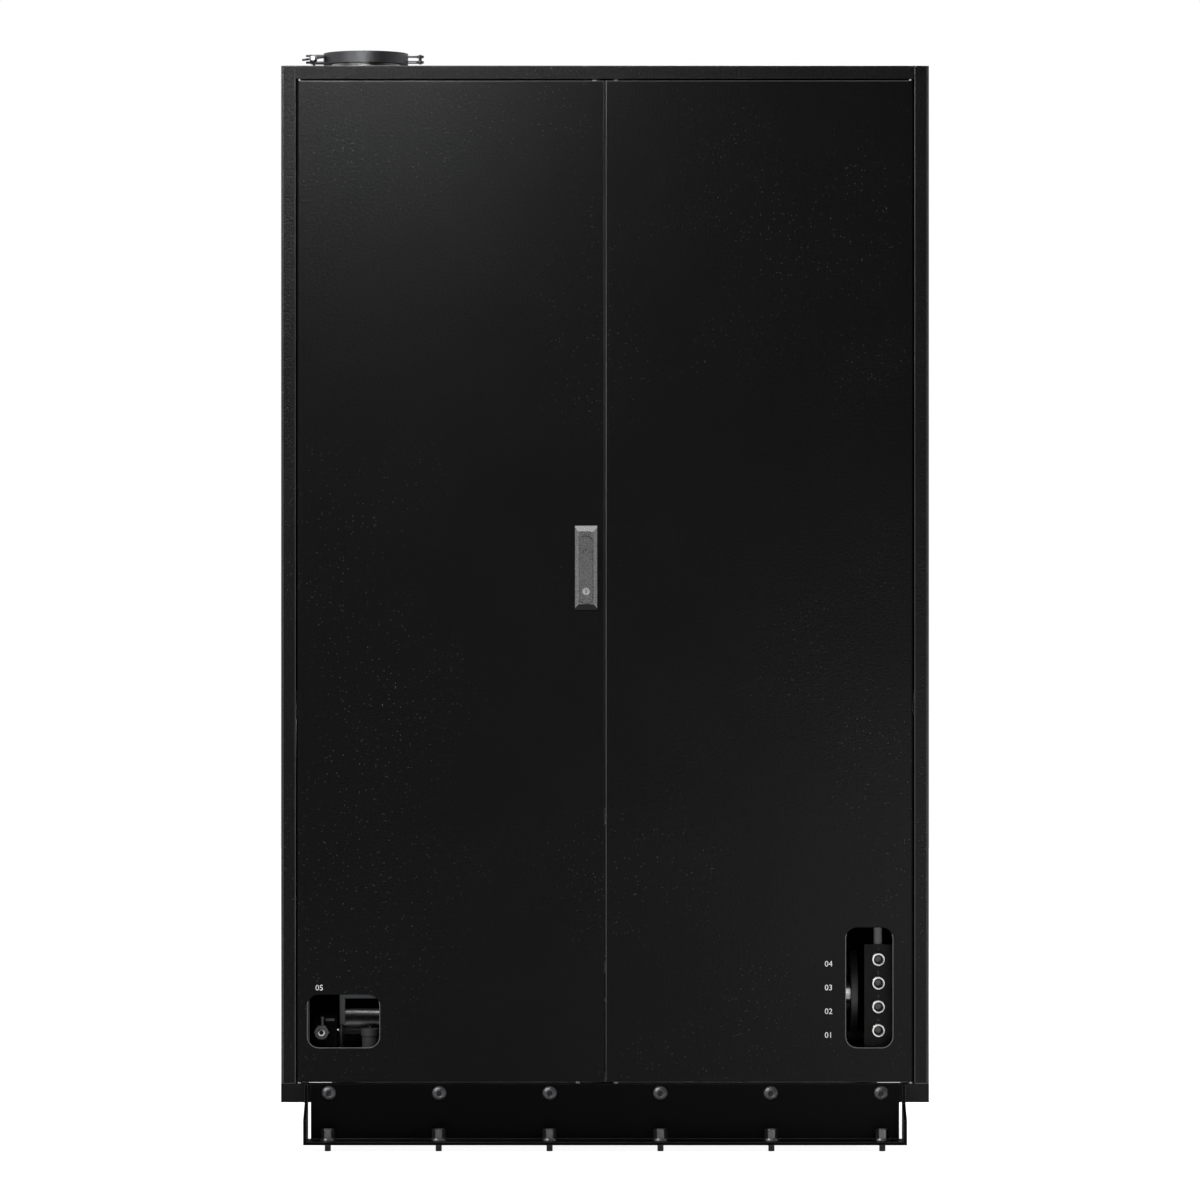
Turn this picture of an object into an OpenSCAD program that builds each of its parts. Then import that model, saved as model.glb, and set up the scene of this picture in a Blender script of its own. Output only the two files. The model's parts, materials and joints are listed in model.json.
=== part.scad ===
// Coolant distribution unit: a floor-standing cabinet with two front doors,
// seismic floor brackets, and the pumps, exchanger and pipework inside.
// X is to the right seen from the front, Y is to the back and Z is up.
// Z = 0 is the tip of the floor anchors; the floor is anchor_stick above it.

/* [Cabinet] */
// Width over the side panels
cab_w = 1200; // [1100:10:1400]
// Depth over the front and rear frames
cab_d = 1200; // [1080:10:1400]
// Height from the underside of the base rail to the roof
cab_h = 1920; // [1900:10:2200]
// Height of the base rail's underside above the floor
floor_gap = 73; // [70:1:90]
// Length of the floor anchors below the floor
anchor_stick = 13; // [10:1:40]

/* [Frame] */
// Height of the base rails
rail_h = 34.5; // [30:0.5:45]
// Depth of the base and top rails, front to back
rail_d = 30; // [24:1:36]
// Wall of the base and top rails
rail_wall = 4; // [3:0.5:5]
// Width of a corner post
post_w = 24; // [20:1:30]
// Depth of a corner post, front to back
post_d = 40; // [34:1:60]
// Wall of a corner post
post_wall = 2.5; // [2:0.5:4]
// Height of the rails round the top
header_h = 24.5; // [20:0.5:40]
// Thickness of the side, rear and roof panels
panel_t = 3; // [2:0.5:3.5]
// Width of the members across the base
cross_w = 40; // [30:1:60]

/* [Doors] */
// Depth of a door
door_t = 25; // [22:1:30]
// Thickness of the door sheet
sheet_t = 2; // [1.5:0.1:3]
// Gap between a door and its corner post
gap_side = 2.5; // [2.3:0.1:3]
// Gap between the two doors
gap_centre = 2; // [1.5:0.1:4]
// Gap above a door
gap_top = 3.2; // [2.5:0.1:5]
// Gap below a door
gap_bottom = 3.5; // [2.5:0.1:5]
// Distance of the hinge axis behind the door's face and inside its edge
pivot_in = 4.5; // [4.2:0.1:5]
// Radius of a hinge pin
hinge_r = 3; // [2:0.1:3]
// Length of a hinge pin inside the door
hinge_reach = 14; // [10:1:20]

/* [Door windows] */
// Corner radius of both windows
window_r = 22; // [10:1:30]
// Height of both windows' lower edge above the floor
window_z = 173; // [160:1:200]
// Width of the left window
left_window_w = 135.6; // [120:0.1:160]
// Height of the left window
left_window_h = 100.6; // [90:0.1:120]
// Distance of the left window from the cabinet's side
left_window_in = 48; // [45:1:60]
// Width of the right window
right_window_w = 89; // [80:1:110]
// Height of the right window
right_window_h = 225; // [220:1:260]
// Distance of the right window from the cabinet's side
right_window_in = 66; // [60:1:80]

/* [Swing handle] */
// Distance of the handle's centre line from the cabinet's centre line
handle_in = 35; // [33:1:60]
// Width of the bezel
bezel_w = 41.7; // [40:0.1:50]
// Height of the bezel
bezel_h = 156; // [150:1:180]
// How far the bezel stands proud of the door
bezel_t = 12; // [8:0.5:16]
// Height of the bezel's lower edge above the floor
bezel_z = 985; // [900:1:1100]
// Width of the bezel's side chamfers
bezel_side = 7; // [5:0.5:8]
// Height of the bezel's upper and lower chamfers
bezel_end = 10.5; // [6:0.5:11]
// Width of the lever
lever_w = 23.3; // [20:0.1:25]
// Length of the lever with its hub
lever_l = 124.6; // [110:0.1:126]
// Thickness of the lever
lever_t = 5; // [4:0.5:8]
// Radius of the spindle
spindle_r = 6; // [4:0.5:7]
// Radius of the pin that the lever lifts on
lever_pin_r = 1.2; // [1:0.1:1.5]
// Radius of the lock cylinder
lock_r = 6.7; // [5:0.1:8]
// Height of the lock's axis above the bezel's lower edge
lock_up = 34; // [30:1:45]
// Radius of the pinion that drives the latch rods
pinion_r = 11.5; // [10:0.5:14]
// Side of a square latch rod
bolt_side = 8; // [6:0.5:9]
// How far a latch rod reaches into the frame
latch_reach = 12; // [8:1:14]
// Length of a flush bolt
flush_l = 180; // [120:10:300]

/* [Floor brackets] */
// Thickness of the bracket plate
plate_t = 6; // [5:0.5:8]
// Height of the bracket above the floor
bracket_h = 107; // [100:1:107]
// Depth of the foot from the cabinet's face
foot_d = 80; // [75:1:100]
// Width over the two end gussets
bracket_w = 1111; // [1050:1:1111]
// Slit between the web and each gusset
slit_w = 5; // [3:0.5:8]
// Distance between neighbouring bolts
bolt_pitch = 204.5; // [190:0.5:205]
// Number of bolts in each bracket
bolt_count = 6; // [4:1:6]
// Radius of a bracket bolt
bolt_r = 8; // [6:0.5:8]
// Radius of a bracket bolt's button head
bolt_head_r = 14; // [12:0.5:15]
// Height of a bracket bolt's axis above the floor
bolt_z = 90; // [86:1:94]
// Radius of a floor anchor's shank
anchor_r = 6; // [5:0.5:8]
// Radius of a floor anchor's flange
anchor_flange_r = 14; // [12:0.5:16]
// Width across the corners of a floor anchor's head
anchor_hex = 25; // [20:0.5:28]
// Height of a floor anchor's head above the foot
anchor_head = 22; // [16:1:26]
// Distance of the floor anchors from the cabinet's face
anchor_out = 51; // [45:1:60]

/* [Pipes] */
// Outer radius of the four connection pipes
pipe_r = 63.5; // [57:0.5:64]
// Wall of the connection pipes
pipe_wall = 2.5; // [2:0.5:4]
// Outer radius of a ferrule's flange
ferrule_r = 72.25; // [70:0.25:75]
// Thickness of a ferrule's flange at its rim
ferrule_t = 2.85; // [2:0.05:4]
// Height of a ferrule's face above the roof
ferrule_up = 25; // [24:1:40]
// Distance of the connection pipes from the cabinet's side
pipe_in = 151; // [151:1:155]
// Outer radius of the pump headers
header_r = 44.5; // [40:0.5:46]
// Outer radius of the pumps' branch pipes
branch_r = 30; // [24:0.5:34]

/* [Pipe clamp] */
// Outer radius of the clamp's ring
clamp_r = 79.5; // [78:0.5:84]
// Height of the clamp's ring
clamp_h = 21; // [18:1:22]
// Distance of the clamp's hinge from the pipe's axis
clamp_hinge = 102; // [96:1:106]
// Distance of the clamp's bolt from the pipe's axis
clamp_bolt_x = 98; // [98:1:100]
// Radius of the clamp's bolt
clamp_bolt_r = 4; // [3:0.5:4]
// Radius over the wing nut's wings
wing_r = 21; // [18:1:21]

/* [Equipment] */
// Radius of a pump's casing
pump_r = 85; // [75:1:90]
// Height of a pump's casing
pump_h = 270; // [250:5:290]
// Radius of an impeller
impeller_r = 60; // [50:1:62]
// Radius of a pump's shaft
shaft_r = 12; // [8:1:14]
// Radius of a motor
motor_r = 80; // [70:1:85]
// Height of a motor
motor_h = 305; // [280:5:320]
// Radius of the reservoir
tank_r = 100; // [90:1:104]
// Height of the reservoir
tank_h = 620; // [500:10:700]
// Width of the exchanger's plates
plate_w = 400; // [300:10:400]
// Height of the exchanger's frame
exchanger_h = 1080; // [1070:10:1120]
// Depth of the exchanger over its frame
exchanger_d = 340; // [300:10:350]
// Height of the equipment shelf above the floor
shelf_z = 830; // [820:10:860]
// Distance of the suction header behind the cabinet's face
suction_in = 155; // [150:1:160]
// Distance from each pump header to the pumps' axes
header_to_pump = 215; // [210:1:220]
// Height of the pump headers above the floor
line_up = 270; // [260:1:280]
// Distance of each pump from the cabinet's centre line
pump_x = 250; // [240:1:260]
// Height of the exchanger's upper ports above the floor
upper_port = 1037; // [1030:1:1045]
// Height of the exchanger's lower ports above the floor
lower_port = 387; // [387:1:420]
// Distance of the exchanger's ports from its centre line
port_x = 80; // [75:1:90]
// Height of the control valve above the floor
valve_up = 787; // [750:1:800]
// Height of the fill line's cross run above the floor
fill_up = 700; // [500:10:760]
// Width of the electrical enclosure
enclosure_w = 480; // [400:10:490]
// Height of the electrical enclosure
enclosure_h = 850; // [700:10:900]
// Depth of the electrical enclosure
enclosure_d = 290; // [200:10:300]

/* [Service fittings] */
// Distance between neighbouring service ports
port_pitch = 44; // [40:1:50]
// Height of the lowest service port above the floor
port_z = 203.5; // [200:0.5:210]
// Outer radius of a service port
port_r = 12.4; // [11:0.1:14]
// Radius of a service port's mouth
port_mouth_r = 8; // [7:0.1:9]
// Radius of a service port's poppet
poppet_r = 6.4; // [5:0.1:6.5]
// Width of the port plate
port_plate_w = 55; // [50:1:60]
// Height of the port plate's upper edge above the floor
port_plate_top = 363; // [360:1:390]
// Distance of the make-up line behind the cabinet's face
makeup_in = 110; // [105:1:115]
// Height of the make-up line above the floor
makeup_up = 221; // [215:1:230]
// Radius of the make-up line
makeup_r = 24; // [20:1:24]
// Radius of the fill line
fill_r = 8; // [6:0.5:9]
// Radius of the relief valve's outlet
relief_r = 4; // [3:0.1:5]
// Height of the relief valve's outlet above the floor
relief_z = 200; // [195:1:205]

/* [Hidden] */
$fn = 64;

// Fits
run_gap = 0.05;   // radial clearance of a running shaft
free_gap = 0.3;   // clearance between faces that slide past each other
anchor_gap = 1.2; // radial clearance of a floor anchor in the foot
joint_gap = 0.3;  // gap at a butt joint between two lengths of pipe or bar

// Heights
floor_z = anchor_stick;
base_z = floor_z + floor_gap;
sill_z = base_z + rail_h;
roof_z = base_z + cab_h;
head_z = roof_z - header_h;
front_y = -cab_d / 2;
rear_y = cab_d / 2;

// Door opening and doors
side_x = cab_w / 2;
skin_x = side_x - panel_t;
opening_x = skin_x - post_w;
door_edge = opening_x - gap_side;
door_inner = gap_centre / 2;
door_z0 = sill_z + gap_bottom;
door_z1 = head_z - gap_top;
door_back = front_y + door_t;
pivot_x = door_edge - pivot_in;
pivot_y = front_y + pivot_in;
bush_w = 14;
window_z0 = floor_z + window_z;

// Handle and latch
bezel_z0 = floor_z + bezel_z;
bezel_y = front_y - bezel_t;
lever_y = bezel_y - free_gap;
lever_face = lever_y - lever_t;
lever_z0 = bezel_z0 + (bezel_h - lever_l) * 0.36;
hub_r = lever_w / 2;
hub_z = lever_z0 + lever_l - hub_r;
pin_z = hub_z - hub_r - 2.5;
pin_y = (lever_y + lever_face) / 2;
tongue_r = 2.2;
shoulder_z = pin_z - tongue_r - 2.5;
lock_z = bezel_z0 + lock_up;
bolt_y = front_y + sheet_t + 11;
rack_off = pinion_r + free_gap + bolt_side / 2;
gear_half = 22;
slot_side = bolt_side + 2 * free_gap;
flush_x = 20;

// Brackets
web_x = bracket_w / 2 - plate_t - slit_w;
web_y = front_y - plate_t;
anchor_y = front_y - anchor_out;
bolt_xs = [for (i = [0 : bolt_count - 1]) (i - (bolt_count - 1) / 2) * bolt_pitch];
nut_t = 8;

// Pipes
pipe_x = -side_x + pipe_in;
ferrule_z = roof_z + ferrule_up;
roof_hole = pipe_r + 4;

// Equipment
tray_t = 2.5;
tray_z = sill_z + tray_t;
line_z = floor_z + line_up;
suction_y = front_y + suction_in;
pump_y = suction_y + header_to_pump;
discharge_y = pump_y + header_to_pump;
return_run_y = discharge_y + 35;
shelf_top = floor_z + shelf_z;
shelf_t = 6;
shelf_lip = 40;
shelf_rear = pump_y + 110;
tank_x = -150;
casing_z = tray_z + 12;
casing_top = casing_z + pump_h - 15;
flange_top = casing_top + 15;
nozzle_l = 130;
nozzle_flange_r = 50;
exchanger_y = discharge_y + header_r + 70.5;
end_plate = 25;
upper_port_z = floor_z + upper_port;
lower_port_z = floor_z + lower_port;
valve_z = floor_z + valve_up;
valve_t = 120;
valve_r = 95;
valve_bore = 57;
stem_r = 8;
enclosure_x = 60;
enclosure_y = front_y + 60;

pipe_ys = [suction_y + 15, suction_y + 265, discharge_y + 165, rear_y - 180];

// Service fittings
plate_y = front_y + 49;
ports_x = side_x - right_window_in - right_window_w + 63;
port_zs = [for (i = [0 : 3]) floor_z + port_z + i * port_pitch];
port_face = plate_y - 17;
relief_x = -side_x + left_window_in + 25.5;
relief_y = front_y + 44;
strip_x = -side_x + left_window_in + 58;
makeup_riser_x = strip_x + 149;
elbow_leg = pipe_r * 1.25; // straight leg of a pipe's elbow

// ---- Helpers ----

// A box between two corners
module bar(lo, hi) {
  translate(lo) cube(hi - lo);
}

// A round bar between two points
module round_bar(a, b, r) {
  d = b - a;
  translate(a) rotate([0, acos(d[2] / norm(d)), atan2(d[1], d[0])]) cylinder(r = r, h = norm(d));
}

// A pipe along a list of points, with a ball at each bend
module pipe_run(points, r) {
  for (i = [0 : len(points) - 2]) round_bar(points[i], points[i + 1], r);
  for (i = [1 : len(points) - 2]) translate(points[i]) sphere(r = r);
}

// Straight pipes and elbows along a list of points, joint_gap apart
module piping(points, r) {
  last = len(points) - 1;
  run = [for (i = [0 : last - 1]) norm(points[i + 1] - points[i])];
  dir = [for (i = [0 : last - 1]) (points[i + 1] - points[i]) / run[i]];
  leg = [for (length = run) length > 2.5 * elbow_leg ? elbow_leg : length];
  for (i = [0 : last - 1]) if (leg[i] < run[i])
    round_bar(points[i] + dir[i] * (i == 0 ? 0 : leg[i] + joint_gap),
              points[i + 1] - dir[i] * (i == last - 1 ? 0 : leg[i] + joint_gap), r);
  for (i = [1 : last - 1]) {
    translate(points[i]) sphere(r = r);
    round_bar(points[i] - dir[i - 1] * leg[i - 1], points[i], r);
    round_bar(points[i], points[i] + dir[i] * leg[i], r);
  }
}

// A rectangle with true round corners, from the origin
module round_rect(w, h, r) {
  translate([r, 0]) square([w - 2 * r, h]);
  translate([0, r]) square([w, h - 2 * r]);
  for (x = [r, w - r], y = [r, h - r]) translate([x, y]) circle(r = r);
}

// A cut along Y, for a profile drawn in X and Z
module cut_y(y0, y1) {
  translate([0, y1, 0]) rotate([90, 0, 0]) linear_extrude(y1 - y0) children();
}

// The same shape on the left and on the right
module both_sides() {
  children();
  mirror([1, 0, 0]) children();
}

// The same shape at the front and at the rear
module front_and_rear() {
  children();
  mirror([0, 1, 0]) children();
}

// ---- Cabinet ----

module base_frame() {
  beam_y = front_y + rail_d + joint_gap;
  color("#1a1a1c") difference() {
    union() {
      front_and_rear() bar([-side_x, front_y, base_z], [side_x, front_y + rail_d, sill_z]);
      both_sides() bar([side_x - rail_d, beam_y, base_z], [side_x, -beam_y, sill_z]);
      for (x = [-side_x * 0.8, 0, side_x * 0.8])
        bar([x - cross_w / 2, beam_y, base_z], [x + cross_w / 2, -beam_y, sill_z]);
    }
    front_and_rear() for (x = bolt_xs)
      round_bar([x, front_y - 1, floor_z + bolt_z], [x, front_y + rail_d + 1, floor_z + bolt_z], bolt_r + run_gap);
    bar([-handle_in - rack_off - slot_side / 2 - 1, bolt_y - slot_side / 2 - 1, sill_z - latch_reach - 2],
        [-handle_in - rack_off + slot_side / 2 + 1, bolt_y + slot_side / 2 + 1, sill_z + 1]);
    bar([flush_x - slot_side / 2 - 1, bolt_y - slot_side / 2 - 1, sill_z - latch_reach - 2],
        [flush_x + slot_side / 2 + 1, bolt_y + slot_side / 2 + 1, sill_z + 1]);
  }
}

module corner_posts() {
  color("#1a1a1c") both_sides() front_and_rear() difference() {
    bar([opening_x, front_y, sill_z], [skin_x, front_y + post_d, roof_z]);
    bar([opening_x + post_wall, front_y + post_wall, sill_z - 1],
        [skin_x - post_wall, front_y + post_d - post_wall, roof_z + 1]);
  }
}

module top_frame() {
  color("#1a1a1c") difference() {
    union() {
      front_and_rear() bar([-opening_x, front_y, head_z], [opening_x, front_y + rail_d, roof_z]);
      both_sides() bar([opening_x, front_y + post_d, head_z], [skin_x, rear_y - post_d, roof_z]);
    }
    front_and_rear() bar([-opening_x - 1, front_y + rail_wall, head_z + rail_wall],
                         [opening_x + 1, front_y + rail_d + 1, roof_z - rail_wall]);
    for (x = [-handle_in + rack_off, flush_x])
      bar([x - slot_side / 2 - 1, bolt_y - slot_side / 2 - 1, head_z - 1],
          [x + slot_side / 2 + 1, bolt_y + slot_side / 2 + 1, head_z + rail_wall + 1]);
    bar([-opening_x + 1, front_y + 14, roof_z - panel_t], [opening_x - 1, rear_y - 14, roof_z + 1]);
  }
}

module side_panel(side) {
  color("#19191b") scale([side, 1, 1])
    bar([skin_x, front_y + 2, sill_z], [side_x, rear_y - 2, roof_z]);
}

module roof_panel() {
  color("#19191b") difference() {
    bar([-opening_x + 1, front_y + 14, roof_z - panel_t], [opening_x - 1, rear_y - 14, roof_z]);
    for (y = pipe_ys) translate([pipe_x, y, roof_z - panel_t - 1]) cylinder(r = roof_hole, h = panel_t + 2);
  }
}

module rear_panels() {
  color("#19191b") both_sides()
    bar([door_inner, rear_y - panel_t - 2, sill_z], [opening_x, rear_y - 2, head_z]);
}

module drip_tray() {
  color("#8d9093") difference() {
    bar([-opening_x + 8, front_y + 35, sill_z], [opening_x - 8, rear_y - 35, sill_z + 20]);
    bar([-opening_x + 8 + tray_t, front_y + 35 + tray_t, tray_z],
        [opening_x - 8 - tray_t, rear_y - 35 - tray_t, sill_z + 21]);
  }
}

module equipment_shelf() {
  color("#8d9093") difference() {
    union() {
      bar([-skin_x, front_y + post_d, shelf_top - shelf_t], [skin_x, shelf_rear, shelf_top]);
      both_sides() bar([opening_x, front_y + post_d, shelf_top - shelf_lip], [skin_x, shelf_rear, shelf_top]);
      bar([-opening_x, front_y + post_d, shelf_top - shelf_lip],
          [opening_x, front_y + post_d + shelf_t, shelf_top]);
    }
    translate([tank_x, suction_y, shelf_top - shelf_t - 1]) cylinder(r = branch_r + 4, h = shelf_t + 2);
    translate([tank_x, plate_y + 13, shelf_top - shelf_t - 1]) cylinder(r = fill_r + 2, h = shelf_t + 2);
  }
}

// ---- Floor brackets ----

module bracket() {
  difference() {
    union() {
      bar([-web_x, web_y, floor_z + 2], [web_x, front_y, floor_z + bracket_h]);
      bar([-bracket_w / 2, front_y - foot_d, floor_z], [bracket_w / 2, front_y - 2, floor_z + plate_t]);
      both_sides() translate([bracket_w / 2 - plate_t, 0, 0]) rotate([90, 0, 90]) linear_extrude(plate_t)
        polygon([
          [front_y, floor_z], [front_y, floor_z + bracket_h], [front_y - 22, floor_z + bracket_h],
          [front_y - 22, floor_z + 72], [front_y - foot_d, floor_z + 46], [front_y - foot_d, floor_z]
        ]);
    }
    for (x = bolt_xs) {
      round_bar([x, web_y - 1, floor_z + bolt_z], [x, front_y + 1, floor_z + bolt_z], bolt_r + 0.5);
      translate([x, anchor_y, floor_z - 1]) cylinder(r = anchor_r + anchor_gap, h = plate_t + 2);
    }
  }
}

module front_bracket() {
  color("#151516") bracket();
}

module rear_bracket() {
  color("#151516") mirror([0, 1, 0]) bracket();
}

// A button-head screw along +Y, its head's seat at the origin
module button_screw() {
  difference() {
    union() {
      rotate([90, 0, 0]) cylinder(r1 = bolt_head_r, r2 = bolt_head_r * 0.62, h = bolt_head_r * 0.57);
      rotate([-90, 0, 0]) cylinder(r = bolt_r, h = plate_t + rail_d);
    }
    rotate([90, 0, 0]) translate([0, 0, bolt_head_r * 0.57 - 5]) cylinder(r = bolt_r * 0.72, h = 6, $fn = 6);
  }
}

module bracket_bolts() {
  color("#8a8c90") front_and_rear() for (x = bolt_xs)
    translate([x, web_y, floor_z + bolt_z]) button_screw();
}

module floor_anchors() {
  color("#3c3d40") front_and_rear() for (x = bolt_xs) translate([x, anchor_y, floor_z + plate_t]) {
    cylinder(r1 = anchor_flange_r, r2 = anchor_hex / 2 - 1, h = 5);
    cylinder(r = anchor_hex / 2, h = anchor_head, $fn = 6);
    translate([0, 0, -plate_t - anchor_stick]) cylinder(r = anchor_r, h = anchor_stick + plate_t + 1);
  }
}

module levelling_feet() {
  color("#55575a") front_and_rear() for (x = [-side_x * 0.8, 0, side_x * 0.8])
    translate([x, front_y + 120, floor_z]) {
      cylinder(r = 30, h = 8);
      cylinder(r = 8, h = floor_gap);
      translate([0, 0, floor_gap - 10]) cylinder(r = 15, h = 10, $fn = 6);
    }
}

// ---- Doors ----

module hinge_pins() {
  color("#9a9ca0") both_sides() translate([pivot_x, pivot_y, 0]) {
    translate([0, 0, sill_z]) cylinder(r = hinge_r, h = gap_bottom + hinge_reach);
    translate([0, 0, sill_z]) cylinder(r = pivot_in, h = gap_bottom - free_gap);
    translate([0, 0, door_z1 - hinge_reach]) cylinder(r = hinge_r, h = hinge_reach + gap_top);
  }
}

// A door pan, as the right-hand one
module door_pan() {
  difference() {
    union() {
      translate([0, 0, door_z0]) linear_extrude(door_z1 - door_z0) {
        translate([door_inner, front_y]) square([pivot_x - door_inner, sheet_t]);
        translate([door_inner, front_y]) square([sheet_t, door_t]);
        translate([door_edge - sheet_t, pivot_y]) square([sheet_t, door_t - pivot_in]);
        difference() {
          translate([pivot_x, pivot_y]) circle(r = pivot_in);
          translate([pivot_x, pivot_y]) circle(r = pivot_in - 1.2);
          translate([pivot_x - pivot_in - 1, pivot_y]) square([pivot_in * 2 + 2, pivot_in + 1]);
          translate([pivot_x - pivot_in - 1, pivot_y - pivot_in - 1]) square([pivot_in + 1, pivot_in * 2]);
        }
      }
      for (z = [door_z0, door_z1 - sheet_t])
        bar([door_inner, front_y, z], [pivot_x, door_back, z + sheet_t]);
      for (z = [door_z0, door_z1 - hinge_reach - 4]) {
        bar([door_edge - bush_w, front_y, z], [pivot_x, pivot_y + 9, z + hinge_reach + 4]);
        bar([pivot_x, pivot_y, z], [door_edge, pivot_y + 9, z + hinge_reach + 4]);
        translate([pivot_x, pivot_y, z]) cylinder(r = pivot_in, h = hinge_reach + 4);
      }
      for (z = [door_z0, door_z1 - sheet_t])
        bar([pivot_x, pivot_y, z], [door_edge, door_back, z + sheet_t]);
    }
    translate([pivot_x, pivot_y, door_z0 - 1]) cylinder(r = hinge_r + run_gap, h = hinge_reach + 1.5);
    translate([pivot_x, pivot_y, door_z1 - hinge_reach - 0.5]) cylinder(r = hinge_r + run_gap, h = hinge_reach + 1.5);
  }
}

// A square guide for a latch rod or a flush bolt
module bolt_guide(x, z) {
  difference() {
    bar([x - slot_side / 2 - 3, front_y + sheet_t, z], [x + slot_side / 2 + 3, door_back, z + 20]);
    bolt_hole(x);
  }
}

module bolt_hole(x) {
  bar([x - slot_side / 2, bolt_y - slot_side / 2, door_z0 - 1], [x + slot_side / 2, bolt_y + slot_side / 2, door_z1 + 1]);
}

upper_rod_x = -handle_in + rack_off;
lower_rod_x = -handle_in - rack_off;

module door_left() {
  color("#161617") {
    difference() {
      mirror([1, 0, 0]) door_pan();
      cut_y(front_y - 1, front_y + sheet_t + 1)
        translate([-side_x + left_window_in, window_z0]) round_rect(left_window_w, left_window_h, window_r);
      round_bar([-handle_in, front_y - 1, hub_z], [-handle_in, front_y + sheet_t + 1, hub_z], spindle_r + 2);
      bar([upper_rod_x - slot_side / 2, bolt_y - slot_side / 2, door_z1 - 5],
          [upper_rod_x + slot_side / 2, bolt_y + slot_side / 2, door_z1 + 1]);
      bar([lower_rod_x - slot_side / 2, bolt_y - slot_side / 2, door_z0 - 1],
          [lower_rod_x + slot_side / 2, bolt_y + slot_side / 2, door_z0 + 5]);
    }
    for (z = [hub_z + 300, door_z1 - 120]) bolt_guide(upper_rod_x, z);
    for (z = [hub_z - 400, door_z0 + 120]) bolt_guide(lower_rod_x, z);
  }
}

module door_right() {
  color("#161617") {
    difference() {
      door_pan();
      cut_y(front_y - 1, front_y + sheet_t + 1)
        translate([side_x - right_window_in - right_window_w, window_z0])
          round_rect(right_window_w, right_window_h, window_r);
      bolt_hole_ends(flush_x);
    }
    for (z = [door_z0 + 40, door_z0 + flush_l - 40, door_z1 - 60, door_z1 - flush_l + 20]) bolt_guide(flush_x, z);
  }
}

// The holes for a flush bolt in the door's two end returns
module bolt_hole_ends(x) {
  for (z = [door_z0, door_z1])
    bar([x - slot_side / 2, bolt_y - slot_side / 2, z - 5], [x + slot_side / 2, bolt_y + slot_side / 2, z + 5]);
}

module handle_bezel() {
  x0 = -handle_in - bezel_w / 2;
  x1 = -handle_in + bezel_w / 2;
  z1 = bezel_z0 + bezel_h;
  edge = 2;
  color("#4a4b4e") difference() {
    intersection() {
      translate([0, 0, bezel_z0]) linear_extrude(bezel_h)
        polygon([[x0, front_y], [x0, front_y - edge], [x0 + bezel_side, bezel_y],
                 [x1 - bezel_side, bezel_y], [x1, front_y - edge], [x1, front_y]]);
      translate([x0, 0, 0]) rotate([90, 0, 90]) linear_extrude(bezel_w)
        polygon([[front_y, bezel_z0], [front_y - edge, bezel_z0], [bezel_y, bezel_z0 + bezel_end],
                 [bezel_y, z1 - bezel_end], [front_y - edge, z1], [front_y, z1]]);
    }
    round_bar([-handle_in, bezel_y - 1, hub_z], [-handle_in, front_y + 1, hub_z], spindle_r + run_gap);
  }
}

module latch_gearbox() {
  y0 = front_y + sheet_t;
  y1 = door_back - 1;
  half = rack_off + bolt_side / 2 + 3;
  color("#6c6e72") difference() {
    bar([-handle_in - half, y0, hub_z - gear_half], [-handle_in + half, y1, hub_z + gear_half]);
    bar([-handle_in - half + 2.7, bolt_y - slot_side / 2, hub_z - gear_half - 1],
        [-handle_in + half - 2.7, bolt_y + slot_side / 2, hub_z + gear_half + 1]);
    round_bar([-handle_in, y0 - 1, hub_z], [-handle_in, y1 + 1, hub_z], spindle_r + run_gap);
  }
}

// The hub, its shaft, the fork for the lever's pin and the pinion
module handle_spindle() {
  fork_w = 5 + free_gap;
  color("#47484b") {
    difference() {
      union() {
        round_bar([-handle_in, lever_face, hub_z], [-handle_in, lever_y, hub_z], hub_r);
        bar([-handle_in - hub_r, lever_face, pin_z - tongue_r], [-handle_in + hub_r, lever_y, hub_z]);
      }
      bar([-handle_in - fork_w, lever_face - 1, pin_z - tongue_r - 1],
          [-handle_in + fork_w, lever_y + 1, pin_z + tongue_r + 1]);
    }
    round_bar([-handle_in - hub_r, pin_y, pin_z], [-handle_in + hub_r, pin_y, pin_z], lever_pin_r);
    round_bar([-handle_in, lever_y - 1, hub_z], [-handle_in, door_back - 1, hub_z], spindle_r);
    round_bar([-handle_in, bolt_y - bolt_side / 2, hub_z], [-handle_in, bolt_y + bolt_side / 2, hub_z], pinion_r);
  }
}

module handle_lever() {
  color("#3b3c3f") difference() {
    union() {
      cut_y(lever_face, lever_y) {
        translate([-handle_in, lever_z0 + hub_r]) circle(r = hub_r);
        translate([-handle_in - hub_r, lever_z0 + hub_r]) square([lever_w, shoulder_z - lever_z0 - hub_r]);
      }
      bar([-handle_in - 5, lever_face, shoulder_z - 1], [-handle_in + 5, lever_y, pin_z]);
      round_bar([-handle_in - 5, pin_y, pin_z], [-handle_in + 5, pin_y, pin_z], tongue_r);
    }
    bar([-handle_in - 6, lever_face - 1, pin_z - 0.5], [-handle_in + 6, pin_y - tongue_r, pin_z + 5]);
    bar([-handle_in - 6, pin_y + tongue_r, pin_z - 0.5], [-handle_in + 6, lever_y + 1, pin_z + 5]);
    round_bar([-handle_in - 6, pin_y, pin_z], [-handle_in + 6, pin_y, pin_z], lever_pin_r + run_gap);
    round_bar([-handle_in, lever_face - 1, lock_z], [-handle_in, lever_y + 1, lock_z], lock_r + run_gap);
  }
}

module lock_cylinder() {
  color("#c9cacc") difference() {
    round_bar([-handle_in, lever_face - 0.6, lock_z], [-handle_in, lever_y, lock_z], lock_r);
    bar([-handle_in - 0.9, lever_face - 1, lock_z - 4], [-handle_in + 0.9, lever_face + 2.5, lock_z + 4]);
  }
}

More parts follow.
